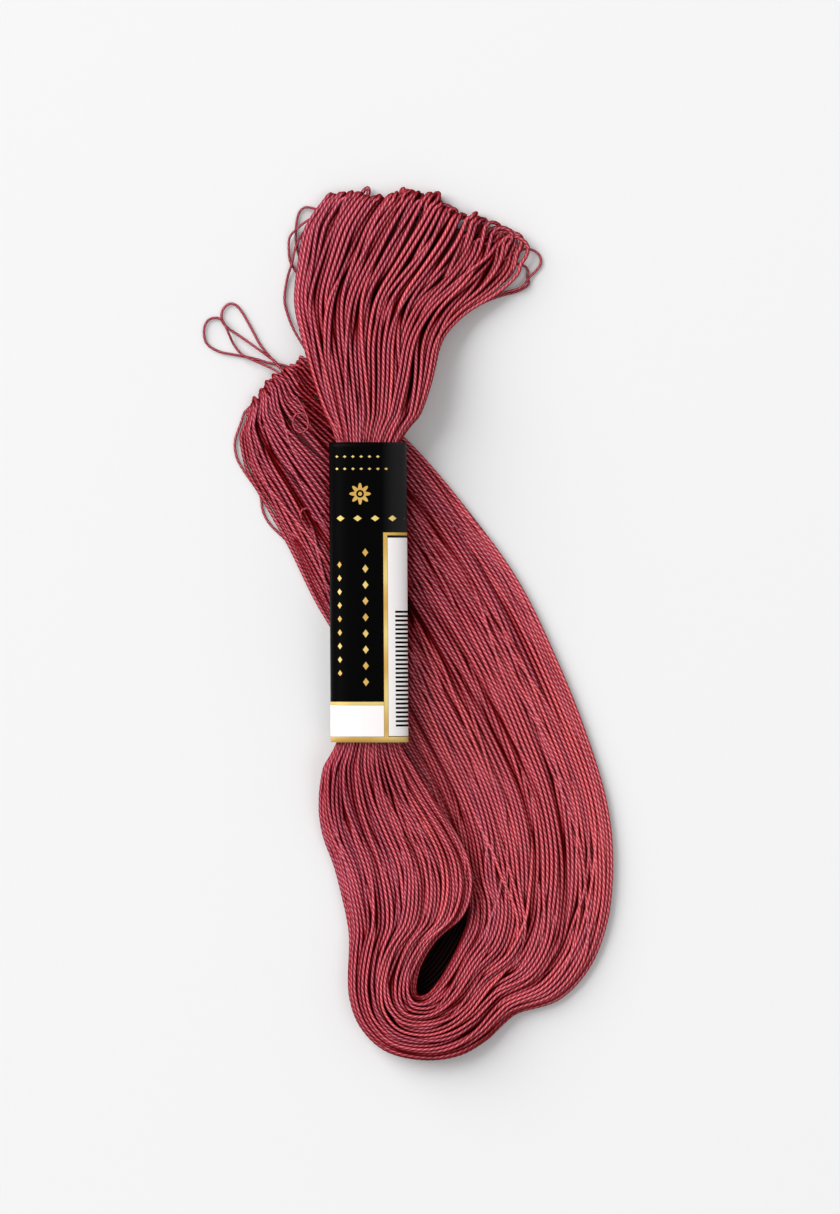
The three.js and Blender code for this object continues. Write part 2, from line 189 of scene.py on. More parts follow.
TURNS = 64
STRANDS = 2 * TURNS  # strand n and strand TURNS + n are the two halves of turn n
THREAD = 0.47  # thread diameter
LOOSE_SWELL = 0.24  # how much thicker the thread is where the band is widest
SWELL_FROM, SWELL_TO = 9, 24  # width of the band at which it starts and stops to swell
LOOSENESS = 1.45  # room in the band for each strand, over its own square
LEAST_ROOM = 1.3  # least height that the strands take up
SQUEEZE = 1.05  # the band's section over the squares of all its strands
TAIL_STATIONS = 34  # stations over which the lower turns end before the tail's rim
MEET_STATIONS = 8  # stations over which a loop's two strands draw together at an end
seeded = np.random.default_rng(41)

# How high each turn lies in its half of the band, and how many stations before the tail's rim it
# ends: the low ones make room for the others.
TURN_HEIGHT = np.modf(np.arange(TURNS) * 0.618)[0]
SHORT = np.where(TURN_HEIGHT < 0.42, 9 + 10 * np.modf(np.arange(TURNS) * 0.377)[0], 0.0)

# The heights of the upper and the lower strands' layers, as shares of the band's height.
UPPER_FOOT, LOWER_FOOT, LAYER = 0.52, 0.02, 0.46

# How far strands stray sideways, in millimetres, and how high they heave, as a share of the band's
# height, each with the length of its waves. Some strands rove further than the rest.
BUNDLE = 4  # turns that stray together
BUNDLE_STRAY, BUNDLE_WAVE = 0.62, 22
ROVING_SHARE, ROVING_STRAY, CALM_STRAY, STRAND_WAVE = 0.22, 1.3, 0.45, 24
WOBBLE, WOBBLE_WAVE = 0.12, 8
HEAVE, HEAVE_WAVE = 0.55, 15
BUNDLE_HEAVE, BUNDLE_HEAVE_WAVE = 0.35, 18
LOWER_STRAY, LOWER_HEAVE = 0.08, 0.25  # how much of that the lower strands do
FULL_STRAY_WIDTH = 7.5  # a band wider than this lets its strands stray more

# The loops at the head's inner corner: some curl flat round it, their neighbours lean the same way
# and close the rim, and some of these end short of it and leave a hollow.
CURL_TURNS = slice(56, 64)
CURL_SHIFT = np.linspace(0.09, 0.16, 8)  # towards the outer edge, as a share of the width
CURL_STATIONS = 12
CURL_SLACK = 0.4  # how much less far than a half circle such a loop reaches
LEAN_TURNS = slice(46, 56)
LEAN_SHIFT = 0.045
HOLLOW_TURNS = slice(51, 56)
HOLLOW_REACH = -2.0

# How the strands settle. Lengths are in thread diameters.
ROUNDS = 260
NEIGHBOURS = 21  # how many strands on either side can touch one
PUSH = 0.42  # share of an overlap that is cleared at once
LONGEST_PUSH = 0.25
COVER, STACKED = 0.62, 0.35  # a strand this close sideways and this much higher covers another
LIFT = 0.16  # share of the way to the top that an uncovered strand rises at once
EASE, LOWER_EASE, HEIGHT_EASE = 0.05, 2.2, 0.6  # pull back to where a strand would like to lie
SMOOTH_ASIDE, SMOOTH_HEIGHT = 0.55, 0.45

# The band's section: its underside curls up and its top falls off towards either edge.
CURL_FROM = 0.62  # where the curl starts, from the middle (0) to an edge (1)
CURL_HEIGHT = 0.30  # how high it ends, as a share of the thickness
EDGE_TOP = 0.45  # how high the top is at an edge, as a share of the thickness

FURROWS = 17  # places across the band where the top dips between two bundles
FURROW_DEPTH, FURROW_REACH = 0.48, 0.36
FURROW_DRIFT, FURROW_WAVE = 0.55, 26  # how far they wander, in shares of their own spacing
DEPTH_SWING, DEPTH_WAVE, DEPTH_MEAN, DEPTH_MOST = 0.55, 15, 0.45, 1.3  # in shares of their depth
U_BINS = 256


def catmull_rom(values, where):
    """A smooth curve through all values but the first and last, at places counted in values."""
    row = np.minimum(np.floor(where).astype(int), len(values) - 4)
    w = (where - row)[:, None]
    p0, p1, p2, p3 = (values[row + k] for k in range(4))
    return 0.5 * (2 * p1 + (p2 - p0) * w + (2 * p0 - 5 * p1 + 4 * p2 - p3) * w ** 2
                  + (3 * p1 - p0 - 3 * p2 + p3) * w ** 3)


def slow_noise(columns, length, rng):
    """Smooth noise of unit spread for each column along the stations, with bumps of that length."""
    knots = max(4, int(STATIONS * STATION_PITCH / length) + 3)
    return catmull_rom(rng.normal(size=(knots, columns)), np.linspace(0.0, knots - 3.001, STATIONS))


def smooth_along(values, amount):
    """Each value moves towards the mean of its neighbours along the run."""
    out = values.copy()
    out[1:-1] += amount * ((values[:-2] + values[2:]) / 2 - values[1:-1])
    return out


# How thick the thread is at each station against THREAD: it swells where it is less pressed.
GIRTH = 1 + LOOSE_SWELL * np.clip((BAND["across"] - SWELL_FROM) / (SWELL_TO - SWELL_FROM), 0, 1)


def furrow_map():
    """How far the top of the band dips at each station, at U_BINS places across it: the deepest of
    FURROWS bells, each of which wanders sideways and comes and goes along the band."""
    across = BAND["across"][:, None, None]
    drift = FURROW_DRIFT * slow_noise(FURROWS, FURROW_WAVE, seeded)
    place = (np.arange(FURROWS) + 0.5 + drift) / FURROWS
    swing = DEPTH_SWING * slow_noise(FURROWS, DEPTH_WAVE, seeded)
    depth = FURROW_DEPTH * np.clip(swing + DEPTH_MEAN, 0, DEPTH_MOST)
    away = (np.linspace(0, 1, U_BINS)[None, :, None] - place[:, None, :]) * across / FURROW_REACH
    return (depth[:, None, :] * np.exp(-away ** 2)).max(2)


def strand_goals():
    """(u, height) where each strand would like to lie at each station, as shares of the band. Every
    strand has its own share of the width and of the height, and strays slowly from both."""
    rng = seeded
    across = BAND["across"][:, None]
    turn = np.arange(TURNS)
    order = (turn + 0.5) / TURNS
    base_u = np.concatenate([order, order])
    base_z = np.concatenate([UPPER_FOOT + LAYER * TURN_HEIGHT,
                             LOWER_FOOT + LAYER * np.modf(TURN_HEIGHT * 3.7 + 0.31)[0]])
    bundle = np.concatenate([turn // BUNDLE, turn // BUNDLE])
    bundles = TURNS // BUNDLE + 1
    stray = BUNDLE_STRAY * slow_noise(bundles, BUNDLE_WAVE, rng)[:, bundle]
    roving = np.where(rng.random(STRANDS) < ROVING_SHARE, ROVING_STRAY, CALM_STRAY)
    stray += (roving * slow_noise(STRANDS, STRAND_WAVE, rng)
              + WOBBLE * slow_noise(STRANDS, WOBBLE_WAVE, rng))
    stray *= np.sqrt(np.maximum(across, FULL_STRAY_WIDTH) / FULL_STRAY_WIDTH)
    stray[:, TURNS:] *= LOWER_STRAY
    edge = np.sin(np.pi * base_u) ** 0.6
    goal_u = base_u + stray * edge / across
    row = np.arange(STATIONS)[:, None]
    meet = np.clip(1 - np.minimum(row, STATIONS - 1 - row) / MEET_STATIONS, 0, 1)
    goal_u[:, TURNS:] += meet * (goal_u[:, :TURNS] - goal_u[:, TURNS:])
    bend = np.clip(1 - row / CURL_STATIONS, 0, 1)
    goal_u[:, CURL_TURNS] -= CURL_SHIFT * bend ** 1.4
    goal_u[:, LEAN_TURNS] -= LEAN_SHIFT * bend
    heave = (HEAVE * slow_noise(STRANDS, HEAVE_WAVE, rng)
             + BUNDLE_HEAVE * slow_noise(bundles, BUNDLE_HEAVE_WAVE, rng)[:, bundle])
    heave[:, TURNS:] *= LOWER_HEAVE
    return goal_u, np.clip(base_z + heave, 0, 1)


def push_apart(u, z, across, size, there):
    """How far each strand is pushed sideways and up by those that it overlaps, and whether it is
    open to the top: with no other strand within COVER sideways and STACKED above."""
    rank = np.argsort(u, axis=1)
    a = np.take_along_axis(u, rank, 1) * across
    h = np.take_along_axis(z, rank, 1)
    here = np.take_along_axis(there, rank, 1)
    push_a, push_h = np.zeros_like(a), np.zeros_like(h)
    covered = np.zeros(a.shape, bool)
    for step in range(1, NEIGHBOURS + 1):
        da, dh = a[:, step:] - a[:, :-step], h[:, step:] - h[:, :-step]
        both = here[:, step:] * here[:, :-step]
        close = (da < COVER * size) & (both > 0)
        covered[:, :-step] |= close & (dh > STACKED * size)
        covered[:, step:] |= close & (dh < -STACKED * size)
        apart = np.sqrt(da * da + dh * dh) + 1e-6
        over = np.maximum(0.0, size - apart) * PUSH / apart * both
        push_a[:, step:] += over * da
        push_a[:, :-step] -= over * da
        push_h[:, step:] += over * dh
        push_h[:, :-step] -= over * dh
    back = np.argsort(rank, axis=1)
    limit = LONGEST_PUSH * THREAD
    aside, up = (np.take_along_axis(np.clip(push, -limit, limit) / scale, back, 1)
                 for push, scale in ((push_a, across), (push_h, 1.0)))
    return aside, up, ~np.take_along_axis(covered, back, 1)


def lay_strands():
    """(u, z) of each strand at each station, and how far the top dips there. The strands start at
    their goals and are pushed off their neighbours until they lie side by side; those that are open
    to the top rise to it."""
    across, thick = BAND["across"][:, None], BAND["thick"][:, None]
    fill = STRANDS * (THREAD * GIRTH) ** 2 * LOOSENESS / BAND["across"]
    room = np.clip(fill, LEAST_ROOM, BAND["thick"])[:, None]
    row = np.arange(STATIONS)[:, None]
    there = (row <= STATIONS - 1 - np.concatenate([SHORT, SHORT])[None, :]).astype(float)
    size = np.sqrt(SQUEEZE * BAND["across"] * BAND["thick"] / there.sum(1))
    size = np.minimum(THREAD * GIRTH, size)[:, None]
    goal_u, goal_z = strand_goals()
    u = np.clip(goal_u + 0.002 * seeded.normal(size=goal_u.shape), 0.01, 0.99)
    z = goal_z * (room - THREAD) + THREAD / 2
    furrows = furrow_map()
    pull = np.where(np.arange(STRANDS) < TURNS, 1.0, LOWER_EASE)
    margin = 0.5 * THREAD / across
    for done in range(ROUNDS):
        aside, up, open_above = push_apart(u, z, across, size, there)
        u, z = u + aside, z + up
        ease = EASE * (1 - 0.8 * done / ROUNDS)
        u = u + ease * pull * (goal_u - u)
        z = z + ease * HEIGHT_EASE * (goal_z * (room - THREAD) + THREAD / 2 - z)
        for _ in range(2):
            u, z = smooth_along(u, SMOOTH_ASIDE), smooth_along(z, SMOOTH_HEIGHT)
        u = np.clip(u, margin, 1 - margin)
        out = np.abs(2 * u - 1)
        curl = np.maximum(0, out - CURL_FROM) / (1 - CURL_FROM)
        crown = np.sqrt(np.maximum(0, 1 - out ** 3))
        low = thick * CURL_HEIGHT * curl ** 2 + THREAD / 2
        dip = np.take_along_axis(furrows, (u * (U_BINS - 1)).astype(int), 1)
        high = thick * (EDGE_TOP + (1 - EDGE_TOP) * crown) - THREAD / 2 - dip
        z = np.where(open_above, z + LIFT * np.maximum(0, high - z), z)
        z = np.clip(z, np.minimum(low, high), high)
    return u, z, dip


U, Z, DIP = lay_strands()


BESIDE = 1.2  # strands this close sideways, in thread diameters, show how deep one lies
SHADE_RATE, SHADE_FROM = 0.9, 0.35  # painted shade: darkness for each thread diameter deeper than the second
FURROW_SHADE = 0.42  # painted shade: darkness for each millimetre that the top dips
THIN_SHADE = 2.4  # how much more than that where the band is thin
THIN_FROM, THIN_REACH = 2.2, 0.5  # thickness under which it counts as thin, and by how much


def painted_depth_shade():
    """Painted shade for each strand: how dark it is for its depth, that is how deep it lies under
    the nearest face or edge of the band, in thread diameters, and how far the top dips there."""
    a = U * BAND["across"][:, None]
    near = np.abs(a[:, :, None] - a[:, None, :]) < BESIDE * THREAD
    height = np.broadcast_to(Z[:, None, :], near.shape)
    top, foot = np.where(near, height, -9).max(2), np.where(near, height, 9).min(2)
    aside = np.minimum(a, BAND["across"][:, None] - a)
    deep = np.minimum(np.minimum(top - Z, Z - foot), aside) / THREAD
    under = SHADE_RATE * np.maximum(0, deep - SHADE_FROM)
    thin = np.clip((THIN_FROM - BAND["thick"]) / THIN_REACH, 0, 1)[:, None]
    return smooth_along(under + FURROW_SHADE * (1 + THIN_SHADE * thin) * DIP, 0.5)


# painted shade of each strand at each station
DEPTH_SHADE = painted_depth_shade()
PASSES = in_space(U, Z)  # station, strand, xyz


# Turns whose head loops stand out of the rim: how much further, and how far to the inner side.
LOOSE_TIPS = {13: (0.9, -0.2), 34: (0.2, 0.9), 35: (0.1, 1.2), 41: (0.8, 0.3), 42: (0.5, 0.2),
              46: (0.4, 0.1)}
HEAD_STATIONS = 10  # stations over which strands that end early are drawn together
TIP_REACH, TIP_SPREAD = 0.9, 0.15
TIP_LEAN, LEAN_SPREAD = 0.30, 0.12
FLAT_TIPS = 0.03  # share of the loops whose tips lie open and flat
FLAT_GAP = 0.65  # least width of such a tip
# A tip's five points on the way from one strand's end to the other's: how far out, how far aside
# (1 at the first strand, -1 at the other), and the shares of the lean and of the fall there.
TIP_POINTS = [(0.35, 1.0, 0.05, 0.0), (0.80, 0.75, 0.35, 0.15), (1.00, 0.0, 0.85, 0.5),
              (0.75, -0.75, 1.1, 0.85), (0.30, -1.0, 0.7, 1.0)]
TIP_START = 0.9  # how far from a strand's end towards its tip point the tip starts


def tip_plan(end, table, sign, loose):
    """For the loops at one end: how far each reaches past its strands' ends, how far it leans to
    one side, which lie flat, and how many stations early its strands end. A loop keeps a reach of
    its own, so one that should stay behind the rim has its strands end early instead."""
    bundles = len(table)
    u = (U[end, :TURNS] + U[end, TURNS:]) / 2
    reach = np.interp(u * bundles - 0.5, np.arange(bundles), table)
    reach = reach + TIP_REACH + seeded.normal(0.0, TIP_SPREAD, TURNS)
    lean = seeded.normal(TIP_LEAN * sign, LEAN_SPREAD, TURNS)
    flat = seeded.random(TURNS) < FLAT_TIPS
    own = np.full(TURNS, TIP_REACH)
    for turn, (further, sideways) in loose.items():
        reach[turn] += further
        lean[turn] += sideways
        flat[turn] = True
    if loose:
        reach[HOLLOW_TURNS] += HOLLOW_REACH
        flat[CURL_TURNS] = True
        own[CURL_TURNS] += 0.5 * CURL_SHIFT * BAND["across"][0] - CURL_SLACK
    early = np.maximum(0, own - reach) / STATION_PITCH
    return np.maximum(reach, own), lean, flat, early


def tip_points(a, b, before, reach, lean, flat):
    """Half an oval from each strand's end a to its partner's end b, upright or flat, past both:
    before holds the two points that lead up to them."""
    ahead = (a + b - before[0] - before[1]) * [1.0, 1.0, 0.0]
    ahead /= np.linalg.norm(ahead, axis=1)[:, None]
    beside = np.column_stack([ahead[:, 1], -ahead[:, 0], 0 * ahead[:, 0]])
    reach, lean, wide = reach[:, None], lean[:, None], flat[:, None]
    middle = (a + b) / 2
    gap = ((a - b) * beside).sum(1)[:, None]
    gap = np.where(wide, np.sign(gap) * np.maximum(np.abs(gap), FLAT_GAP), 0.6 * gap)
    foot = np.where(flat, b[:, 2], 0.6 * np.minimum(a[:, 2], b[:, 2]) + 0.2 * THREAD)
    first_over = a[:, 2] > b[:, 2]
    high, low = np.where(first_over, a[:, 2], foot), np.where(first_over, foot, b[:, 2])
    spots = []
    for out, aside, bend, fall in TIP_POINTS:
        spot = middle + ahead * reach * out + beside * (lean * bend + gap * aside / 2)
        spot[:, 2] = high + (low - high) * fall
        spots.append(spot)
    spots[0] = a + (spots[0] - a) * TIP_START
    spots[-1] = b + (spots[-1] - b) * TIP_START
    return spots


def round_turns():
    """Each turn as one closed run of points: out along one strand, round the tail, back along its
    partner and round the head."""
    head, tail = tip_plan(0, HEAD_REACH, 1, LOOSE_TIPS), tip_plan(-1, TAIL_REACH, -1, {})
    row = np.arange(STATIONS)[:, None]
    spread = row + np.maximum(0, HEAD_STATIONS - row) * head[3] / HEAD_STATIONS
    spread = spread - np.maximum(0, row - (STATIONS - TAIL_STATIONS)) * (SHORT + tail[3]) / (
        TAIL_STATIONS - 1)
    low = np.floor(spread).astype(int)
    high = np.minimum(low + 1, STATIONS - 1)
    share = (spread - low)[..., None]
    out, back = (PASSES[low, strand] * (1 - share) + PASSES[high, strand] * share
                 for strand in (np.arange(TURNS), np.arange(TURNS, STRANDS)))
    head_tip = tip_points(out[0], back[0], (out[2], back[2]), *head[:3])
    tail_tip = tip_points(out[-1], back[-1], (out[-3], back[-3]), *tail[:3])
    points = np.stack([*out, *tail_tip, *back[::-1], *head_tip[::-1]], axis=1)
    points[..., 2] = np.maximum(points[..., 2], THREAD / 2)
    return points


TURN_POINTS = round_turns()  # turn, point, xyz

# ---- Thread ----

PLIES = 4
PITCH = 2.6  # one full turn of the plies
STEPS_PER_PITCH = 16  # base steps in it; a line's rings lie a whole number apart
TURN_STEPS = 2340  # base steps in a turn: a whole number of ply ridges
SIDES = 8
RADIUS = 0.192
PLY_RIDGE = 0.08  # how far the plies stand out of a round thread, as a share
TIP_SHADE = 0.25  # painted shade: how dark a loop's tip is coloured, as if deep
# Base steps between rings: inside the band or the sleeve, on its underside, at its edges, on top.
STRIDE_INSIDE, STRIDE_UNDER, STRIDE_EDGE, STRIDE_TOP, STRIDE_TIP = 8, 6, 4, 2, 1
# How far aside and how much higher another strand hides or buries one, in thread diameters.
HIDE_ASIDE, HIDE_ABOVE, BURY_ASIDE, BURY_ABOVE = 0.62, 0.3, 0.4, 1.2
NEAR_EDGE = 1.3
TONE, TONE_WAVE, STRAND_TONE = 0.35, 30, 0.6  # how much the hue varies along and between strands


def resample(points, count, closed):
    """Points at equal spacing along a Catmull-Rom curve through the given ones, and its length."""
    n, fine = len(points), 8
    if closed:
        ring = np.vstack([points[-1:], points, points[:2]])
        t = np.arange(n * fine + 1) / fine
    else:
        ring = np.vstack([2 * points[:1] - points[1:2], points, 2 * points[-1:] - points[-2:-1]])
        t = np.arange((n - 1) * fine + 1) / fine
    curve = catmull_rom(ring, t)
    arc = np.concatenate([[0], np.cumsum(np.linalg.norm(np.diff(curve, axis=0), axis=1))])
    where = np.linspace(0, arc[-1], count + closed)[:count]
    return np.stack([np.interp(where, arc, curve[:, k]) for k in range(3)], axis=1), arc[-1]


def carried_frames(points, closed):
    """Tangents and normals along many equal-length lines at once. A normal is carried from step to
    step, each time freed of what lies along the new tangent, and a closed line's leftover turn is
    spread evenly over its length."""
    if closed:
        tangent = np.roll(points, -1, axis=1) - np.roll(points, 1, axis=1)
    else:
        tangent = np.gradient(points, axis=1)
    tangent /= np.linalg.norm(tangent, axis=2)[..., None]
    normal = np.zeros_like(tangent)
    start = np.cross(tangent[:, 0], [0.0, 0.0, 1.0])
    normal[:, 0] = start / np.linalg.norm(start, axis=1)[:, None]
    count = points.shape[1]
    for step in range(1, count + 1 if closed else count):
        t = tangent[:, step % count]
        n = normal[:, step - 1] - (normal[:, step - 1] * t).sum(1)[:, None] * t
        n /= np.linalg.norm(n, axis=1)[:, None]
        if step < count:
            normal[:, step] = n
    if closed:
        side = np.cross(tangent[:, 0], normal[:, 0])
        left = np.arctan2((n * side).sum(1), (n * normal[:, 0]).sum(1))
        turn = -left[:, None] * np.arange(count) / count
        other = np.cross(tangent, normal)
        normal = normal * np.cos(turn)[..., None] + other * np.sin(turn)[..., None]
    return tangent, normal


CAP_STEPS = 8  # room in the baking map for the two ends of an open thread
# The corners of a quad's two triangles: 1 for the next ring, and 1 for the next corner round it.
QUAD = [(1, 0), (0, 1), (0, 0), (1, 0), (1, 1), (0, 1)]


class Yarn:
    """Threads gathered into one mesh: rings of SIDES corners along each line. A corner's radius
    rises and falls as the cosine of its place across the plies, so that ridges wind as they do."""

    def __init__(self):
        self.vertices, self.faces, self.ply, self.atlas = [], [], [], []
        self.tint, self.shade, self.up = [], [], []
        self.count = self.run = 0

    def add(self, points, tangent, normal, keep, closed, tint, depth, girth):
        """One line of base steps, of which keep names those that get a ring. depth is the painted
        shade at each step.
        """
        ring = np.flatnonzero(keep)
        n, b = normal[ring], np.cross(tangent[ring], normal[ring])
        corner = np.arange(SIDES)
        angle = 2 * np.pi * corner / SIDES
        phase = 2 * np.pi * PLIES * (corner[None, :] / SIDES + ring[:, None] / STEPS_PER_PITCH)
        radius = RADIUS * (1 + PLY_RIDGE * np.cos(phase))
        out = np.cos(angle)[None, :, None] * n[:, None] + np.sin(angle)[None, :, None] * b[:, None]
        spots = points[ring][:, None] + (girth[ring][:, None] * radius)[..., None] * out
        rings = len(ring)
        first = np.arange(rings if closed else rings - 1)
        start, end = ring[first], np.append(ring[1:], len(points))[:len(first)]
        grid = np.zeros((len(first), SIDES), int)
        faces = [((first + far) % rings)[:, None] * SIDES + (corner + turn) % SIDES
                 for far, turn in QUAD]
        ply = [np.stack([(end if far else start)[:, None] + grid, corner + turn + grid], axis=2)
               for far, turn in QUAD]
        self.faces.append(np.stack(faces, axis=2).reshape(-1, 3) + self.count)
        self.ply.append(np.stack(ply, axis=2).reshape(-1, 2).astype(float))
        self.atlas.append(self.ply[-1] + [self.run, 0])
        self.vertices.append(spots.reshape(-1, 3))
        self.tint.append(np.repeat(tint[ring], SIDES))
        # painted shade of each ring
        self.shade.append(np.repeat(depth[ring], SIDES))
        # how far each corner faces up, which sets the painted highlight and the painted shade of
        # the sides
        self.up.append(out[..., 2].ravel())
        if not closed:
            fan = np.array([[0, c, c + 1] for c in range(1, SIDES - 1)])
            self.cap(fan[:, ::-1], self.count, 0, self.run + len(points))
            self.cap(fan[:, [1, 2, 0]], self.count + (rings - 1) * SIDES, len(points) - 1, self.run)
        self.count += rings * SIDES
        self.run += len(points) + CAP_STEPS

    def cap(self, fan, base, step, room):
        """A flat end at a base step, as a fan over the ring of corners that starts at base, with
        a disc of the baking map as its share."""
        self.faces.append(fan + base)
        ply = np.stack([np.full(fan.shape, step), fan], axis=2)
        self.ply.append(ply.reshape(-1, 2).astype(float))
        turn = 2 * np.pi * fan / SIDES
        disc = np.stack([step + 3 + 2 * np.cos(turn), 3 + 2 * np.sin(turn)], axis=2)
        self.atlas.append(disc.reshape(-1, 2) + [room, 0])

    def strips(self):
        """The baking map: the threads one after another, unrolled and cut into strips of equal
        length that lie side by side and fill the square. A strip is 1.25 times as wide as its
        thread is round, and a tenth of it stays free on each side."""
        corners = np.vstack(self.atlas).reshape(-1, 3, 2)
        step, slot = PITCH / STEPS_PER_PITCH, 1.25 * (2 * np.pi * RADIUS)
        length = math.sqrt(self.run * step * slot)
        rows = math.ceil(self.run * step / length)
        length = self.run * step / rows
        x, around = corners[..., 0] * step, corners[..., 1]
        row = np.minimum(np.floor(x.min(1) / length), rows - 1)[:, None]
        margin = STEPS_PER_PITCH * step + 0.2
        u = (x - row * length + 0.1) / (length + margin)
        v = (row + 0.1 + around / SIDES * 0.8) / rows
        return np.stack([u, v], axis=2).reshape(-1, 2)

    def object(self, name):
        """The mesh object, with the plies' own map and a map for baking that has no overlaps."""
        vertices, faces = np.vstack(self.vertices) * MM, np.vstack(self.faces)
        mesh = bpy.data.meshes.new(name)
        mesh.vertices.add(len(vertices))
        mesh.vertices.foreach_set("co", vertices.ravel().astype(np.float32))
        mesh.loops.add(faces.size)
        mesh.loops.foreach_set("vertex_index", faces.ravel().astype(np.int32))
        mesh.polygons.add(len(faces))
        mesh.polygons.foreach_set("loop_start", np.arange(0, faces.size, 3, dtype=np.int32))
        mesh.polygons.foreach_set("use_smooth", np.ones(len(faces), bool))
        mesh.update(calc_edges=True)
        for key in ("tint", "shade", "up"):
            mark_vertices(mesh, key, np.concatenate(getattr(self, key)))
        for key, spots in (("Ply", np.vstack(self.ply) / [STEPS_PER_PITCH, SIDES]),
                           ("OFBake", self.strips())):
            mesh.uv_layers.new(name=key).data.foreach_set("uv", spots.ravel().astype(np.float32))
        return in_scene(name, mesh)


def mark_vertices(mesh, key, values):
    """A number for each vertex of the mesh, which the material reads under that name."""
    mesh.attributes.new(key, "FLOAT", "POINT").data.foreach_set("value", values.astype(np.float32))


def exposure_strides():
    """How many base steps apart each strand's rings may lie at each station: close where it shows
    from above or from the side, wider on the underside, widest inside the band or the sleeve."""
    across = BAND["across"][:, None]
    a = U * across
    da = np.abs(a[:, :, None] - a[:, None, :])
    dz = Z[:, None, :] - Z[:, :, None]
    above = (da < HIDE_ASIDE * THREAD) & (dz > HIDE_ABOVE * THREAD)
    left, right = (side & above for side in (a[:, None, :] < a[:, :, None],
                                             a[:, None, :] > a[:, :, None]))
    covered = left.any(2) & right.any(2)
    buried = ((da < BURY_ASIDE * THREAD) & (dz > BURY_ABOVE * THREAD)).any(2)
    under = ((da < HIDE_ASIDE * THREAD) & (dz < -HIDE_ABOVE * THREAD)).any(2)
    strides = np.where(under, STRIDE_INSIDE, STRIDE_UNDER)
    strides[~covered & ~buried] = STRIDE_TOP
    edge = (a < NEAR_EDGE * THREAD) | (a > across - NEAR_EDGE * THREAD)
    strides[edge & (strides > STRIDE_EDGE)] = STRIDE_EDGE
    grown = strides.copy()
    grown[1:] = np.minimum(grown[1:], strides[:-1])
    grown[:-1] = np.minimum(grown[:-1], strides[1:])
    first, last = SLEEVE_ROWS
    grown[(BAND["t"] > first + 0.12) & (BAND["t"] < last - 0.15)] = STRIDE_INSIDE
    return grown


CELL = 0.3  # cell of the height map
SHADE_CELLS = 5  # how far round a point the map is searched
CREVICE_SHADE_START, CREVICE_SHADE_REACH = 0.5, 1.2  # painted shade: depth at which the crevice shade starts to darken, and how fast
WALLED_FROM, WALLED_REACH = 0.65, 0.25  # share of filled cells round a point that walls it in


def crevice_shade(points):
    """Painted shade in crevices: how deep each point lies between the highest and the lowest
    threads near it, from 0 to 1: high on a low arm close to the arm lying over it, and nothing
    where one side is open."""
    cell = np.floor((points[..., :2] - points[..., :2].min((0, 1))) / CELL).astype(int)
    size = cell.max((0, 1)) + 1
    top, foot = np.full(size, -9.0), np.full(size, 9.0)
    spot = tuple(cell.reshape(-1, 2).T)
    np.maximum.at(top, spot, points[..., 2].ravel())
    np.minimum.at(foot, spot, points[..., 2].ravel())
    filled = (top > -9.0).astype(float)
    shifts = range(-SHADE_CELLS, SHADE_CELLS + 1)
    for axis in (0, 1):
        top = np.max([np.roll(top, shift, axis) for shift in shifts], axis=0)
        foot = np.min([np.roll(foot, shift, axis) for shift in shifts], axis=0)
        filled = np.mean([np.roll(filled, shift, axis) for shift in shifts], axis=0)
    here = cell[..., 0], cell[..., 1]
    depth = np.minimum(top[here] - points[..., 2], points[..., 2] - foot[here])
    walled = np.clip((filled[here] - WALLED_FROM) / WALLED_REACH, 0, 1)
    return np.clip((depth - CREVICE_SHADE_START) / CREVICE_SHADE_REACH, 0, 1) * walled


def round_trip(table, turn, tail, head):
    """A turn's values at its points, in order, from a table with a column for each strand and from
    one value for either tip."""
    tip = len(TIP_POINTS)
    return np.concatenate([table[:, turn], [tail] * tip, table[::-1, TURNS + turn], [head] * tip])


def wind_skein(pieces):
    """The skein's turns as that many joined meshes of neighbouring turns."""
    strides = exposure_strides()
    points = np.stack([resample(line, TURN_STEPS, True)[0] for line in TURN_POINTS])
    tangent, normal = carried_frames(points, True)
    # painted shade in the crevices between the arms
    crevice_darkness = crevice_shade(points)
    tone = (slow_noise(STRANDS, TONE_WAVE, seeded) * TONE
            + seeded.normal(size=STRANDS) * STRAND_TONE)
    swell = GIRTH[:, None] + np.zeros(STRANDS)
    at = np.arange(TURN_STEPS)
    made = []
    for piece, turns in enumerate(np.array_split(np.arange(TURNS), pieces)):
        yarn = Yarn()
        for turn in turns:
            line = TURN_POINTS[turn]
            arc = np.concatenate([[0], np.cumsum(np.linalg.norm(np.diff(
                np.vstack([line, line[:1]]), axis=0), axis=1))])
            arc *= TURN_STEPS / arc[-1]
            stride = round_trip(strides, turn, STRIDE_TIP, STRIDE_TIP)
            low = np.searchsorted(arc, at, side="right") - 1
            wanted = np.minimum(stride[low % len(stride)], stride[(low + 1) % len(stride)])
            hue = round_trip(tone, turn, tone[-1, turn], tone[0, turn])
            # painted shade for each step: darkness for depth, with a fixed value at the tips
            deep = round_trip(DEPTH_SHADE, turn, TIP_SHADE, TIP_SHADE)
            girth = round_trip(swell, turn, GIRTH[-1], GIRTH[0])
            tint, depth, girth = (np.interp(at, arc[:-1], values) for values in (hue, deep, girth))
            # the painted shade of a step adds that of the crevices
            yarn.add(points[turn], tangent[turn], normal[turn], at % wanted == 0, True,
                     tint, depth + crevice_darkness[turn], girth)
        made.append(yarn.object(f"floss_turns_{piece + 1}"))
    return made


# ---- Materials ----


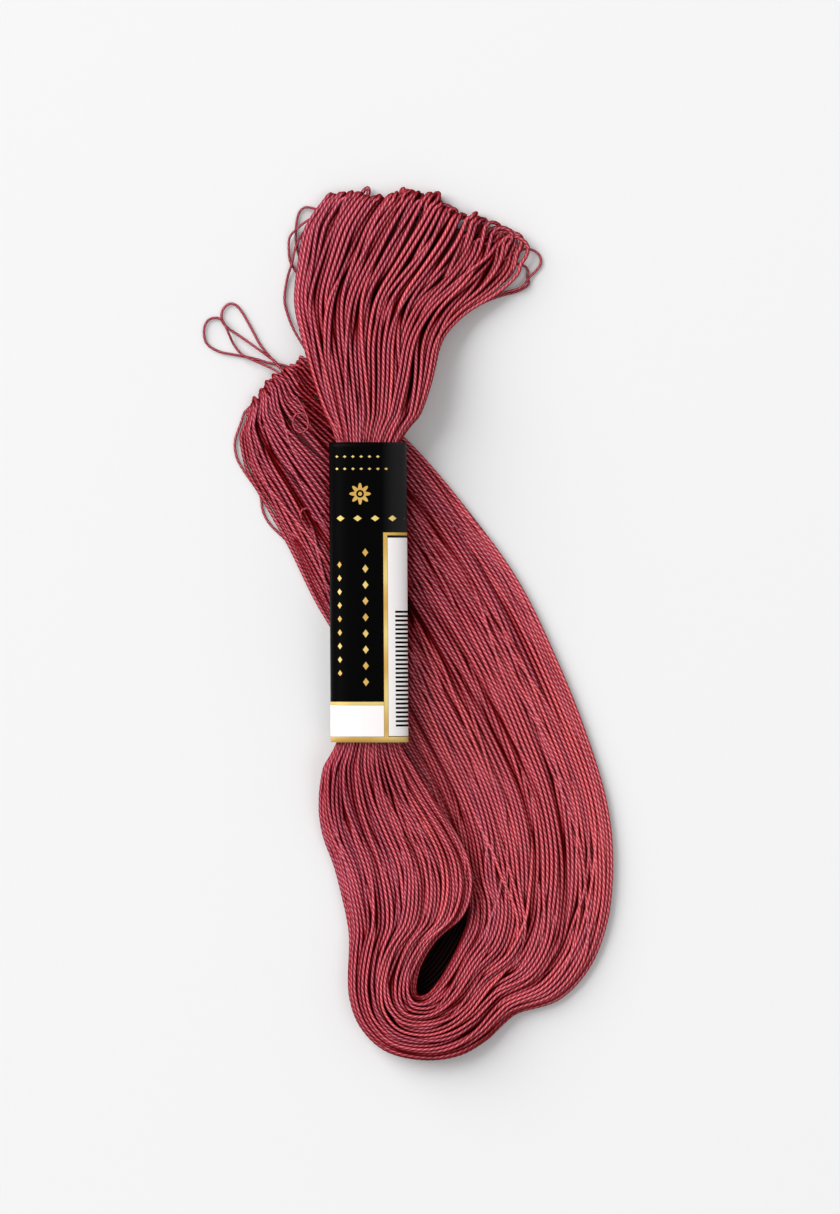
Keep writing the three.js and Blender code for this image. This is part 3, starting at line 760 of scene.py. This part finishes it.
class Value:
    """A socket of a material; arithmetic on it adds Math nodes."""

    def __init__(self, finish, socket):
        self.finish, self.socket = finish, socket

    def _math(self, operation, *others):
        return self.finish.node("Math", {"operation": operation}, dict(enumerate((self, *others))))

    def __add__(self, other): return self._math("ADD", other)
    __radd__ = __add__
    def __mul__(self, other): return self._math("MULTIPLY", other)
    __rmul__ = __mul__
    def __sub__(self, other): return self._math("SUBTRACT", other)
    def __rsub__(self, other): return (self * -1.0) + other
    def __truediv__(self, other): return self._math("DIVIDE", other)
    def __pow__(self, other): return self._math("POWER", other)
    def __abs__(self): return self._math("ABSOLUTE")
    def sine(self): return self._math("SINE")
    def cosine(self): return self._math("COSINE")
    def angle(self, along): return self._math("ARCTAN2", along)
    def over(self, edge): return self._math("GREATER_THAN", edge)
    def greater(self, other): return self._math("MAXIMUM", other)
    def wrap(self): return self._math("FRACT")


class Finish:
    """A material made of nodes round one Principled shader."""

    def __init__(self, name, **constants):
        self.material = bpy.data.materials.new(name)
        self.material.use_nodes = True
        self.tree = self.material.node_tree
        self.tree.nodes.clear()
        self.shader = self.tree.nodes.new("ShaderNodeBsdfPrincipled")
        output = self.tree.nodes.new("ShaderNodeOutputMaterial")
        self.tree.links.new(self.shader.outputs[0], output.inputs[0])
        for socket, value in constants.items():
            self.feed(self.shader.inputs[socket.replace("_", " ")], value)

    def feed(self, socket, value):
        if isinstance(value, Value):
            self.tree.links.new(value.socket, socket)
        elif isinstance(value, tuple) and len(value) == 3 and socket.type == "RGBA":
            socket.default_value = (*value, 1.0)
        else:
            socket.default_value = value

    def node(self, kind, settings=None, inputs=None, output=0):
        made = self.tree.nodes.new("ShaderNode" + kind)
        for key, value in (settings or {}).items():
            setattr(made, key, value)
        for key, value in (inputs or {}).items():
            self.feed(made.inputs[key], value)
        return Value(self, made.outputs[output])

    def mix(self, share, a, b):
        return self.node("Mix", {"data_type": "RGBA"}, {0: share, 6: a, 7: b}, 2)

    def noise(self, where, scale, detail=2.0, rough=0.5):
        return self.node("TexNoise", None, {"Vector": where, "Scale": scale, "Detail": detail,
                                            "Roughness": rough})

    def clamp(self, value, more=0.0):
        return self.node("Math", {"operation": "ADD", "use_clamp": True}, {0: value, 1: more})

    def place(self):
        return self.node("TexCoord", None, None, 3)

    def mark(self, name):
        return self.node("Attribute", {"attribute_name": name}, None, 2)

    def split(self, vector):
        parts = self.node("SeparateXYZ", None, {0: vector}).socket.node.outputs
        return [Value(self, part) for part in parts]

    def uv(self, name):
        return self.split(self.node("UVMap", {"uv_map": name}))[:2]

    def bump(self, strength, distance, height):
        self.feed(self.shader.inputs["Normal"], self.node("Bump", None, {
            "Strength": strength, "Distance": distance * MM, "Height": height}))


ROSE, MAUVE, CORAL = (0.60, 0.064, 0.096), (0.40, 0.048, 0.110), (0.71, 0.080, 0.086)
# painted shade for the ply grooves, and a painted highlight for ridges that face up
GROOVE_SHADE, GLEAM = (0.22, 0.001, 0.006), (1.0, 0.50, 0.56)
# painted shade: the colour of threads deep in shade, and a near black for slits and crevices
DEEP_SHADE, PITCH_DARK = (0.17, 0.0, 0.002), (0.006, 0.0002, 0.0004)
ROSE_SHARE, GROOVE_SHADE_SHARE, GLEAM_SHARE, DEEP_SHADE_RATE = 0.35, 0.24, 0.85, 0.80
DARK_FROM = 0.9  # painted shade: depth at which the deep-shade colour starts to give way to the near-black one
FLANK_FROM, FLANK_RATE, FLANK_SHADE = 0.96, 1.8, 0.90  # painted shade: a thread's sides turn dark where they face away from the top, as if deep
# The colour turns from mauve on the left to a lighter coral on the right as a painted warm light;
# the slow noise and each strand's tint are the thread's own uneven hue.
TINT_SHARE, WARM_ACROSS, WARM_SLOW = 0.28, 16.0, 0.9


def floss_finish():
    """Rose cotton: plies with painted shade in their grooves and a painted highlight on ridges that
    face up, painted shade on the sides and for depth, fine fibres, and slow changes of hue with a
    painted warm light towards the right. A ply's ridge is a cosine of the place round the thread
    plus the place along it."""
    f = Finish("floss", Roughness=0.55)
    f.feed(f.shader.inputs["Specular IOR Level"], 0.06)
    along, around = f.uv("Ply")
    where = f.place()
    x = f.split(where)[0]
    tint, shade, up = f.mark("tint"), f.mark("shade"), f.mark("up")
    # painted shade on the sides of a thread, by how far it faces up
    facing = f.clamp(abs(up))
    flank = f.clamp((FLANK_FROM - facing) * FLANK_RATE) * FLANK_SHADE
    ridge = ((around + along) * (PLIES * 2 * math.pi)).cosine() * 0.5 + 0.5
    fibre = f.noise(f.node("CombineXYZ", None, {0: along * 6.0, 1: around * 9.0 + along * 3.0,
                                                2: tint}), 1.0, 3.0, 0.6)
    slow = f.noise(where, 45.0, 2.0)
    # painted warm light from left to right, with the thread's own slow changes of hue
    warmth = f.clamp(x * WARM_ACROSS + slow * WARM_SLOW, tint * TINT_SHARE)
    base = f.mix(ROSE_SHARE, f.mix(warmth, MAUVE, CORAL), ROSE)
    # painted shade in the ply grooves
    base = f.mix((1 - ridge) ** 1.4 * GROOVE_SHADE_SHARE, base, GROOVE_SHADE)
    # painted highlight on ply ridges where the thread faces up
    base = f.mix(ridge ** 3.0 * facing ** 5.0 * GLEAM_SHARE, base, GLEAM)
    # painted shade: darker for depth and on the sides, then near black past a depth
    base = f.mix(f.clamp(shade * DEEP_SHADE_RATE + flank), base, DEEP_SHADE)
    base = f.mix(f.clamp(shade - DARK_FROM), base, PITCH_DARK)
    f.feed(f.shader.inputs["Base Color"], f.node("HueSaturation", None, {
        "Value": fibre * 0.5 + tint * 0.10 + 0.75, "Color": base}))
    f.bump(0.35, 0.06, fibre)
    return f.material


FLOSS = floss_finish()


def dress(obj, material, nodes):
    """Give a piece its material and body, and hide the nodes that it stands for."""
    obj.data.materials.append(material)
    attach(obj, "root")
    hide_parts(*nodes)


for bundle in wind_skein(6):
    dress(bundle, FLOSS, ["hank"])


CORE_START, CORE_SHORT = 1, 3  # stations left free at the head and at the tail
CORE_INSET = 1.2
CORE_HEIGHT, CORE_HALF = 1.05 * THREAD, 0.04
CORE_COLUMNS = 14
# painted shade: how dark the sheet is coloured
CORE_SHADE = 1.1


def grid_faces(rows, ring, wrap):
    """Quads between neighbours in a grid of rows of ring points, each row closed on itself, and the
    last row joined to the first where wrap is set."""
    r, c = np.meshgrid(np.arange(rows if wrap else rows - 1), np.arange(ring), indexing="ij")
    r1, c1 = (r + 1) % rows, (c + 1) % ring
    return np.stack([r * ring + c, r * ring + c1, r1 * ring + c1, r1 * ring + c], axis=2)


def core_shade_sheet():
    """The deepest threads as one sheet halfway up the band, closed, a little inside its edges and
    rims, and coloured dark as painted shade: it shows only as the bottom of a gap."""
    inset = CORE_INSET / BAND["across"][:, None]
    u = inset + (1 - 2 * inset) * np.linspace(0, 1, CORE_COLUMNS)
    height = CORE_HEIGHT + 0 * u
    spots = np.concatenate([in_space(u, height + CORE_HALF),
                            in_space(u, height - CORE_HALF)[:, ::-1]], axis=1)
    spots = spots[CORE_START:STATIONS - CORE_SHORT]
    count, ring = spots.shape[:2]
    faces = grid_faces(count, ring, False).reshape(-1, 4).tolist()
    first = np.arange(ring)
    ends = [first[::-1].tolist(), (first + (count - 1) * ring).tolist()]
    mesh = bpy.data.meshes.new("core_shade_sheet")
    mesh.from_pydata((spots.reshape(-1, 3) * MM).tolist(), [], faces + ends)
    mark_vertices(mesh, "shade", np.full(count * ring, CORE_SHADE))
    mark_vertices(mesh, "up", np.full(count * ring, 1.0))
    return in_scene("core_shade_sheet", mesh)


dress(core_shade_sheet(), FLOSS, ["hank"])


# ---- The sleeve ----

SLEEVE = dict(head=(-4.6, 20.9, 2.3), foot=(-4.4, -13.4, 1.7), width=8.9, height=4.1, paper=0.12,
              squareness=2.7, rows=60, sides=96)
INSIDE = -1.0  # how far down the print's map puts the unprinted inside


def paper_sleeve():
    """A flattened tube of paper: a superellipse carried from head to foot, outside and then back
    inside, closed over both cut edges."""
    rows, sides = SLEEVE["rows"], SLEEVE["sides"]
    turn = np.linspace(0, 2 * np.pi, sides, endpoint=False)
    along = np.linspace(0, 1, rows)
    head, foot = np.array(SLEEVE["head"]), np.array(SLEEVE["foot"])
    half = np.array([SLEEVE["width"] / 2, SLEEVE["height"] / 2])
    wave = np.column_stack([np.cos(turn), np.sin(turn)])
    outline = np.sign(wave) * np.abs(wave) ** (2 / SLEEVE["squareness"])

    def skin(inset, t):
        middle = head + (foot - head) * t[:, None] + [0, 0, half[1]]
        x, z = (outline * (half - inset)).T
        return np.stack([middle[:, None, 0] + x, middle[:, None, 1] + 0 * x,
                         middle[:, None, 2] + z], axis=2)

    spots = np.concatenate([skin(0, along), skin(SLEEVE["paper"], along[::-1])])
    faces = grid_faces(len(spots), sides, True)
    mesh = bpy.data.meshes.new("paper_sleeve")
    mesh.from_pydata((spots.reshape(-1, 3) * MM).tolist(), [],
                     faces.reshape(-1, 4)[:, ::-1].tolist())
    mesh.polygons.foreach_set("use_smooth", np.ones(len(mesh.polygons), bool))
    rim = outline * half
    steps = np.linalg.norm(np.diff(np.vstack([rim, rim[:1]]), axis=0), axis=1)
    arc = np.concatenate([[0], np.cumsum(steps)])
    arc = arc[sides // 4] - arc     # 0 over the middle of the front, + to the right
    depth = np.concatenate([along * (head[1] - foot[1]), np.full(rows, INSIDE)])
    r, c = np.meshgrid(np.arange(2 * rows), np.arange(sides), indexing="ij")
    r1 = (r + 1) % (2 * rows)
    down = np.stack([depth[r], depth[r], depth[r1], depth[r1]], axis=2)
    down = np.where((r >= rows - 1)[..., None], INSIDE, down)
    aside = np.stack([arc[c], arc[c + 1], arc[c + 1], arc[c]], axis=2)
    spots = np.stack([aside, down], axis=3).reshape(-1, 4, 2)[:, ::-1]
    mesh.uv_layers.new(name="Print").data.foreach_set("uv", spots.astype(np.float32).ravel())
    return in_scene("paper_sleeve", mesh)


# the print's black, and a grey for a painted sheen on it
PRINT_BLACK, PAINTED_SHEEN_GREY = (0.0012, 0.001, 0.001), (0.045, 0.044, 0.046)
# gold print, and a lighter gold for its painted sheen and its mottle
PRINT_GOLD, PRINT_GILT_SHEEN = (0.66, 0.36, 0.07), (0.98, 0.80, 0.30)
PRINT_PALE, PAPER_WHITE = (0.96, 0.92, 0.91), (0.75, 0.73, 0.70)
# Boxes of the print: left and top, right and bottom, from the front's middle line and the head.
SIDE_PANEL = (2.2, 10.9, 7.4, 33.6)
FOOT_PANEL = (-6.0, 30.05, 1.7, 33.65)
GOLD_RULES = [(1.7, 10.3, 2.2, 33.7), (1.7, 10.3, 7.4, 10.65), (-6.0, 29.65, 1.7, 30.05),
              (-40.0, 33.65, 40.0, 34.4), (7.4, 10.3, 7.8, 33.7)]
STRIPES = (3.05, 19.0, 6.6, 32.7)
STRIPE_PITCH = 0.5
# Columns and rows of small lozenges: middle line, first and last place, spacing and half height.
LOZENGE_COLUMNS = [(-3.35, 14.0, 25.9, 1.55, 0.62), (-0.35, 12.6, 27.5, 1.85, 0.78)]
LOZENGE_ROWS = [(1.65, -3.6, 1.4, 0.95, 0.36), (3.05, -3.6, 2.3, 0.95, 0.36),
                (8.7, -3.2, 3.4, 2.0, 0.8)]
ROSETTE, PETALS = (-0.9, 5.9, 1.25), 8.0


def inside(f, u, v, box, soft=0.035):
    """1 within the box of u and v, falling to 0 over a soft edge."""
    left, top, right, bottom = box
    reach = f.clamp((u - left) / soft) * f.clamp((right - u) / soft)
    return reach * f.clamp((v - top) / soft) * f.clamp((bottom - v) / soft)


def lozenges(f, across, along, first, last, pitch, size):
    """A line of diamonds, pitch apart; the sum of the distances along and across bounds each."""
    step = abs(((along - first) / pitch + 0.5).wrap() - 0.5) * pitch
    shape = f.clamp((size * 0.5 - (step * 0.8 + abs(across) * 1.1)) / 0.04)
    ends = f.clamp((along - first + pitch / 2) / 0.01) * f.clamp((last + pitch / 2 - along) / 0.01)
    return shape * ends


def paper_finish():
    """Black satin paper with gold rules, plain ornament and two bare pale panels; the black has a
    painted sheen towards the right and the gold has painted bands of lighter gilt.
    """
    f = Finish("label_paper", Coat_Roughness=0.3)
    f.feed(f.shader.inputs["Specular IOR Level"], 0.03)
    u, v = f.uv("Print")
    pale = inside(f, u, v, SIDE_PANEL).greater(inside(f, u, v, FOOT_PANEL))
    gold = inside(f, u, v, GOLD_RULES[0])
    for box in GOLD_RULES[1:]:
        gold = gold.greater(inside(f, u, v, box))
    for centre, first, last, pitch, size in LOZENGE_COLUMNS:
        gold = gold.greater(lozenges(f, u - centre, v, first, last, pitch, size))
    for centre, first, last, pitch, size in LOZENGE_ROWS:
        gold = gold.greater(lozenges(f, v - centre, u, first, last, pitch, size))
    x, y, size = ROSETTE
    du, dv = u - x, v - y
    radius = (du * du + dv * dv) ** 0.5
    petals = (dv.angle(du) * PETALS).cosine() * 0.22 + 0.78
    flower = f.clamp((petals * size - radius) / 0.05) * f.clamp((radius - 0.34 * size) / 0.05)
    gold = gold.greater(flower).greater(f.clamp((0.2 * size - radius) / 0.05))
    stripes = ((v / STRIPE_PITCH).wrap() - 0.5).over(0.0) * inside(f, u, v, STRIPES, 0.02)
    mottle = f.noise(f.place(), 900.0, 3.0)
    wear = f.noise(f.place(), 4000.0, 2.0)
    # painted sheen: slanted bands of lighter gold across the gilt, with a real mottle
    painted_gold_sheen = (v * 0.9 + u * 0.35).sine() * 0.5 + 0.5
    gilt = f.mix(painted_gold_sheen * 0.55 + mottle * 0.3, PRINT_GOLD, PRINT_GILT_SHEEN)
    # painted sheen: the black greys towards the right of the front, where the paper bends back
    colour = f.mix(f.clamp((u - 1.6) / 2.6) * 0.5, PRINT_BLACK, PAINTED_SHEEN_GREY)
    colour = f.mix(stripes, f.mix(pale, colour, PRINT_PALE), PRINT_BLACK)
    colour = f.mix(gold, colour, gilt)
    back = f.clamp((v * -1.0) / 0.02)
    colour = f.mix(back, colour, PAPER_WHITE)
    f.feed(f.shader.inputs["Base Color"], colour)
    f.feed(f.shader.inputs["Metallic"], gold * 0.25)
    f.feed(f.shader.inputs["Roughness"], 0.30 + mottle * 0.12 + back * 0.4)
    f.bump(0.12, 0.03, mottle + wear)
    return f.material


dress(paper_sleeve(), paper_finish(), ["label_sleeve"])

# ---- Turns that stand off the band ----

ON_TABLE = 0.27  # height of a thread's middle line where it lies on the table
# The nodes that each group stands for, and its threads' middle lines: (x, y), and z off the table.
LOOSE_THREADS = {
    "loops_head_left": (["stray_loop_head_left"], [
        [(-8.2, 46.4, 1.4), (-9.4, 47.2, 1.1), (-10.6, 47.8, 0.7), (-11.8, 48.0, 0.35),
         (-12.5, 47.4), (-12.8, 46.3), (-12.9, 44.9), (-12.8, 43.4), (-12.2, 41.7), (-11.2, 40.0)],
        [(-8.2, 45.2, 1.6), (-10.1, 46.5, 1.2), (-11.0, 46.7, 1.0), (-11.8, 46.3, 0.82),
         (-12.9, 45.4, 0.8), (-13.6, 44.5, 0.5), (-13.7, 43.1, 0.3), (-13.5, 41.7), (-12.6, 40.2),
         (-11.4, 38.5)],
    ]),
    "long_loop_head_left": (["stray_loop_head_left_long"], [
        [(-11.2, 45.9, 0.5), (-12.1, 45.0, 0.3), (-12.9, 43.4, 0.8), (-13.3, 41.7, 0.75),
         (-13.9, 39.7, 0.3), (-14.2, 37.4), (-13.8, 35.6, 0.3), (-13.1, 33.9, 0.7),
         (-12.1, 32.2, 1.5), (-10.8, 30.2, 2.3)],
    ]),
    "loops_head_right": (["stray_loop_head_right"], [
        [(11.0, 41.9, 1.3), (12.4, 42.9, 1.0), (13.7, 43.2, 0.5), (14.65, 42.95, 0.28),
         (15.2, 42.3), (15.2, 41.4), (14.6, 40.6), (14.0, 40.0, 0.4), (13.4, 39.2, 0.75),
         (12.6, 38.6, 0.75), (10.9, 38.2, 0.8), (9.4, 37.7, 1.0), (7.6, 36.9, 1.2)],
        [(12.0, 41.6, 0.9), (13.3, 41.3, 0.6), (13.8, 40.7, 0.3), (13.7, 40.0), (13.9, 39.4),
         (13.6, 38.9), (12.4, 38.3), (10.9, 37.9, 0.3), (9.2, 37.3, 0.6), (7.4, 36.4, 0.9)],
    ]),
    "crossed_loops_tail": (["stray_loops_tail"], [
        [(-12.6, 26.9, 1.0), (-14.1, 28.8, 0.7), (-15.2, 30.2, 0.3), (-16.8, 31.4, 0.8),
         (-18.2, 32.4, 0.8), (-19.6, 33.4, 0.3), (-20.8, 34.2), (-21.4, 35.1), (-21.3, 36.2),
         (-20.6, 36.9), (-19.8, 36.8), (-19.1, 36.0), (-18.4, 34.8), (-17.8, 33.7), (-17.1, 32.4),
         (-16.2, 31.2, 0.3), (-15.3, 30.2, 0.85), (-14.3, 29.0, 1.2), (-14.0, 27.7, 1.2),
         (-13.8, 26.3, 0.8)],
        [(-11.9, 27.6, 1.0), (-13.0, 29.2, 0.5), (-14.1, 29.8, 0.3), (-15.9, 30.1), (-17.2, 30.5),
         (-18.5, 30.8), (-20.1, 31.1), (-21.6, 31.4), (-22.9, 32.1), (-23.4, 33.0), (-23.4, 34.2),
         (-23.0, 35.0), (-22.3, 35.3), (-21.6, 35.2, 0.3), (-21.1, 34.6, 0.8), (-20.6, 33.5, 0.8),
         (-20.0, 32.2, 0.3), (-19.1, 31.1, 0.75), (-17.9, 30.5, 0.8), (-16.6, 29.9, 0.8),
         (-15.2, 29.2, 1.3), (-14.0, 28.1, 1.5), (-12.6, 26.8, 1.3)],
    ]),
    "tail_edge_loops": (["hank"], [
        [(-15.4, 24.8, 1.6), (-16.5, 25.5, 1.0), (-17.4, 25.5, 0.4), (-18.1, 25.1), (-18.8, 24.4),
         (-19.1, 23.5), (-19.5, 22.4), (-19.8, 21.5), (-19.9, 20.6), (-19.7, 19.3), (-19.1, 18.1),
         (-18.0, 16.5, 0.3), (-16.4, 14.4, 0.3)],
        [(-17.9, 17.4, 0.3), (-17.2, 15.9), (-16.9, 14.6), (-16.7, 13.2), (-16.1, 11.9),
         (-15.1, 10.8), (-13.8, 9.6), (-12.2, 7.9, 0.3)],
        [(-10.4, 30.6, 0.9), (-11.6, 30.6, 0.7), (-12.4, 30.0, 0.6), (-12.8, 29.2, 0.8),
         (-12.6, 27.8, 1.3)],
    ]),
    "tail_curl": (["hank"], [
        [(-8.9, 20.6, 1.9), (-10.2, 21.7, 2.1), (-11.2, 22.9, 2.2), (-11.6, 23.9, 2.3),
         (-12.3, 24.3, 2.3), (-13.0, 24.0, 2.3), (-13.2, 23.2, 2.3), (-12.9, 22.4, 2.3),
         (-12.2, 22.1, 2.5), (-11.5, 22.6, 2.8), (-11.5, 23.6, 2.9), (-12.0, 24.8, 2.4),
         (-12.8, 26.2, 1.9)],
    ]),
}
# The innermost turns, low in the slit between the two arms and coloured near black as painted
# shade: a middle line, how many lie beside it, and how far apart.
SLIT_LINE = [(0.4, -12.0), (2.1, -16.6), (4.0, -20.8), (5.8, -24.0), (7.2, -26.8), (7.5, -29.3),
             (6.8, -32.2), (5.6, -34.8), (4.3, -37.0), (2.9, -39.0), (1.2, -40.6), (-0.6, -41.0)]
SLIT_THREADS, SLIT_SPACING = 22, 0.5 * THREAD
SLIT_STRIDE = 3  # base steps between the rings of its threads
LOOSE_SHADE = 0.3  # painted shade: how dark loose threads are coloured, as if deep
SLIT_SHADE = 1.95  # painted shade: how dark those threads are coloured, near black
LOOSE_GIRTH = 0.74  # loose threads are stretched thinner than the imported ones


def loose_threads():
    """Every group of loose threads as a mesh of its own, on the surface or on the band."""
    for name, (nodes, lines) in LOOSE_THREADS.items():
        yarn = Yarn()
        for line in lines:
            spots = np.array([(*spot, ON_TABLE)[:3] for spot in line])
            add_open_thread(yarn, spots, LOOSE_SHADE, LOOSE_GIRTH, 1)
        dress(yarn.object(name), FLOSS, nodes)


def slit_threads():
    """Threads side by side along the slit, each shifted across it, low over the surface and
    coloured near black as painted shade.
    """
    line = np.array(SLIT_LINE)
    along = np.gradient(line, axis=0)
    along /= np.linalg.norm(along, axis=1)[:, None]
    across = np.column_stack([along[:, 1], -along[:, 0]])
    yarn = Yarn()
    for number in range(SLIT_THREADS):
        aside = (number - (SLIT_THREADS - 1) / 2) * SLIT_SPACING
        spots = line + across * (aside + 0.04 * seeded.normal(size=(len(line), 1)))
        height = np.full(len(line), THREAD / 2 + 0.02) + 0.26 * (number % 2)
        add_open_thread(yarn, np.column_stack([spots, height]), SLIT_SHADE, 1.0,
                        SLIT_STRIDE)
    dress(yarn.object("slit_threads"), FLOSS, ["hank"])


def add_open_thread(yarn, line, depth, girth, stride):
    """One thread along the line, with an even painted shade, its own tint and a ring every stride
    steps.
    """
    length = resample(line, 2, False)[1]
    steps = int(length * STEPS_PER_PITCH / PITCH / stride) * stride + 1
    points, _ = resample(line, steps, False)
    points[:, 2] = np.maximum(points[:, 2], THREAD / 2)
    tangent, normal = carried_frames(points[None], False)
    yarn.add(points, tangent[0], normal[0], np.arange(steps) % stride == 0, False,
             np.full(steps, seeded.normal() * 0.4), np.full(steps, depth), np.full(steps, girth))


loose_threads()
slit_threads()

# ---- Table and light ----


TABLE_HALF = 0.6  # metres
TABLE_COLOUR = (0.86, 0.86, 0.865)
ROOM_LIGHT = 0.44


def make_stage():
    """A bare pale table under the skein."""
    mesh = bpy.data.meshes.new("table")
    corners = [(-1, -1), (1, -1), (1, 1), (-1, 1)]
    mesh.from_pydata([(TABLE_HALF * x, TABLE_HALF * y, 0) for x, y in corners], [], [(0, 1, 2, 3)])
    table = in_scene("table", mesh)
    f = Finish("table", Roughness=0.9)
    f.feed(f.shader.inputs["Base Color"], TABLE_COLOUR)
    mesh.materials.append(f.material)


def make_light(name, spot, size, watts):
    """A square lamp, so many metres wide, that faces the middle of the table."""
    data = bpy.data.lights.new(name, "AREA")
    data.size, data.energy = size, watts
    light = in_scene(name, data)
    light.location = spot
    x, y, z = spot
    light.rotation_euler = (math.atan2(math.hypot(x, y), z), 0, math.atan2(-y, -x) - math.pi / 2)


make_stage()
make_light("key", (-2.15, 1.60, 1.75), 2.8, 124.0)
make_light("fill", (1.2, -0.9, 2.6), 1.6, 10.0)
world = bpy.data.worlds.new("room")
world.use_nodes = True
background = world.node_tree.nodes["Background"].inputs
background[0].default_value = (1, 1, 1, 1)
background[1].default_value = ROOM_LIGHT
bpy.context.scene.world = world
bpy.context.scene.view_settings.view_transform = "Standard"
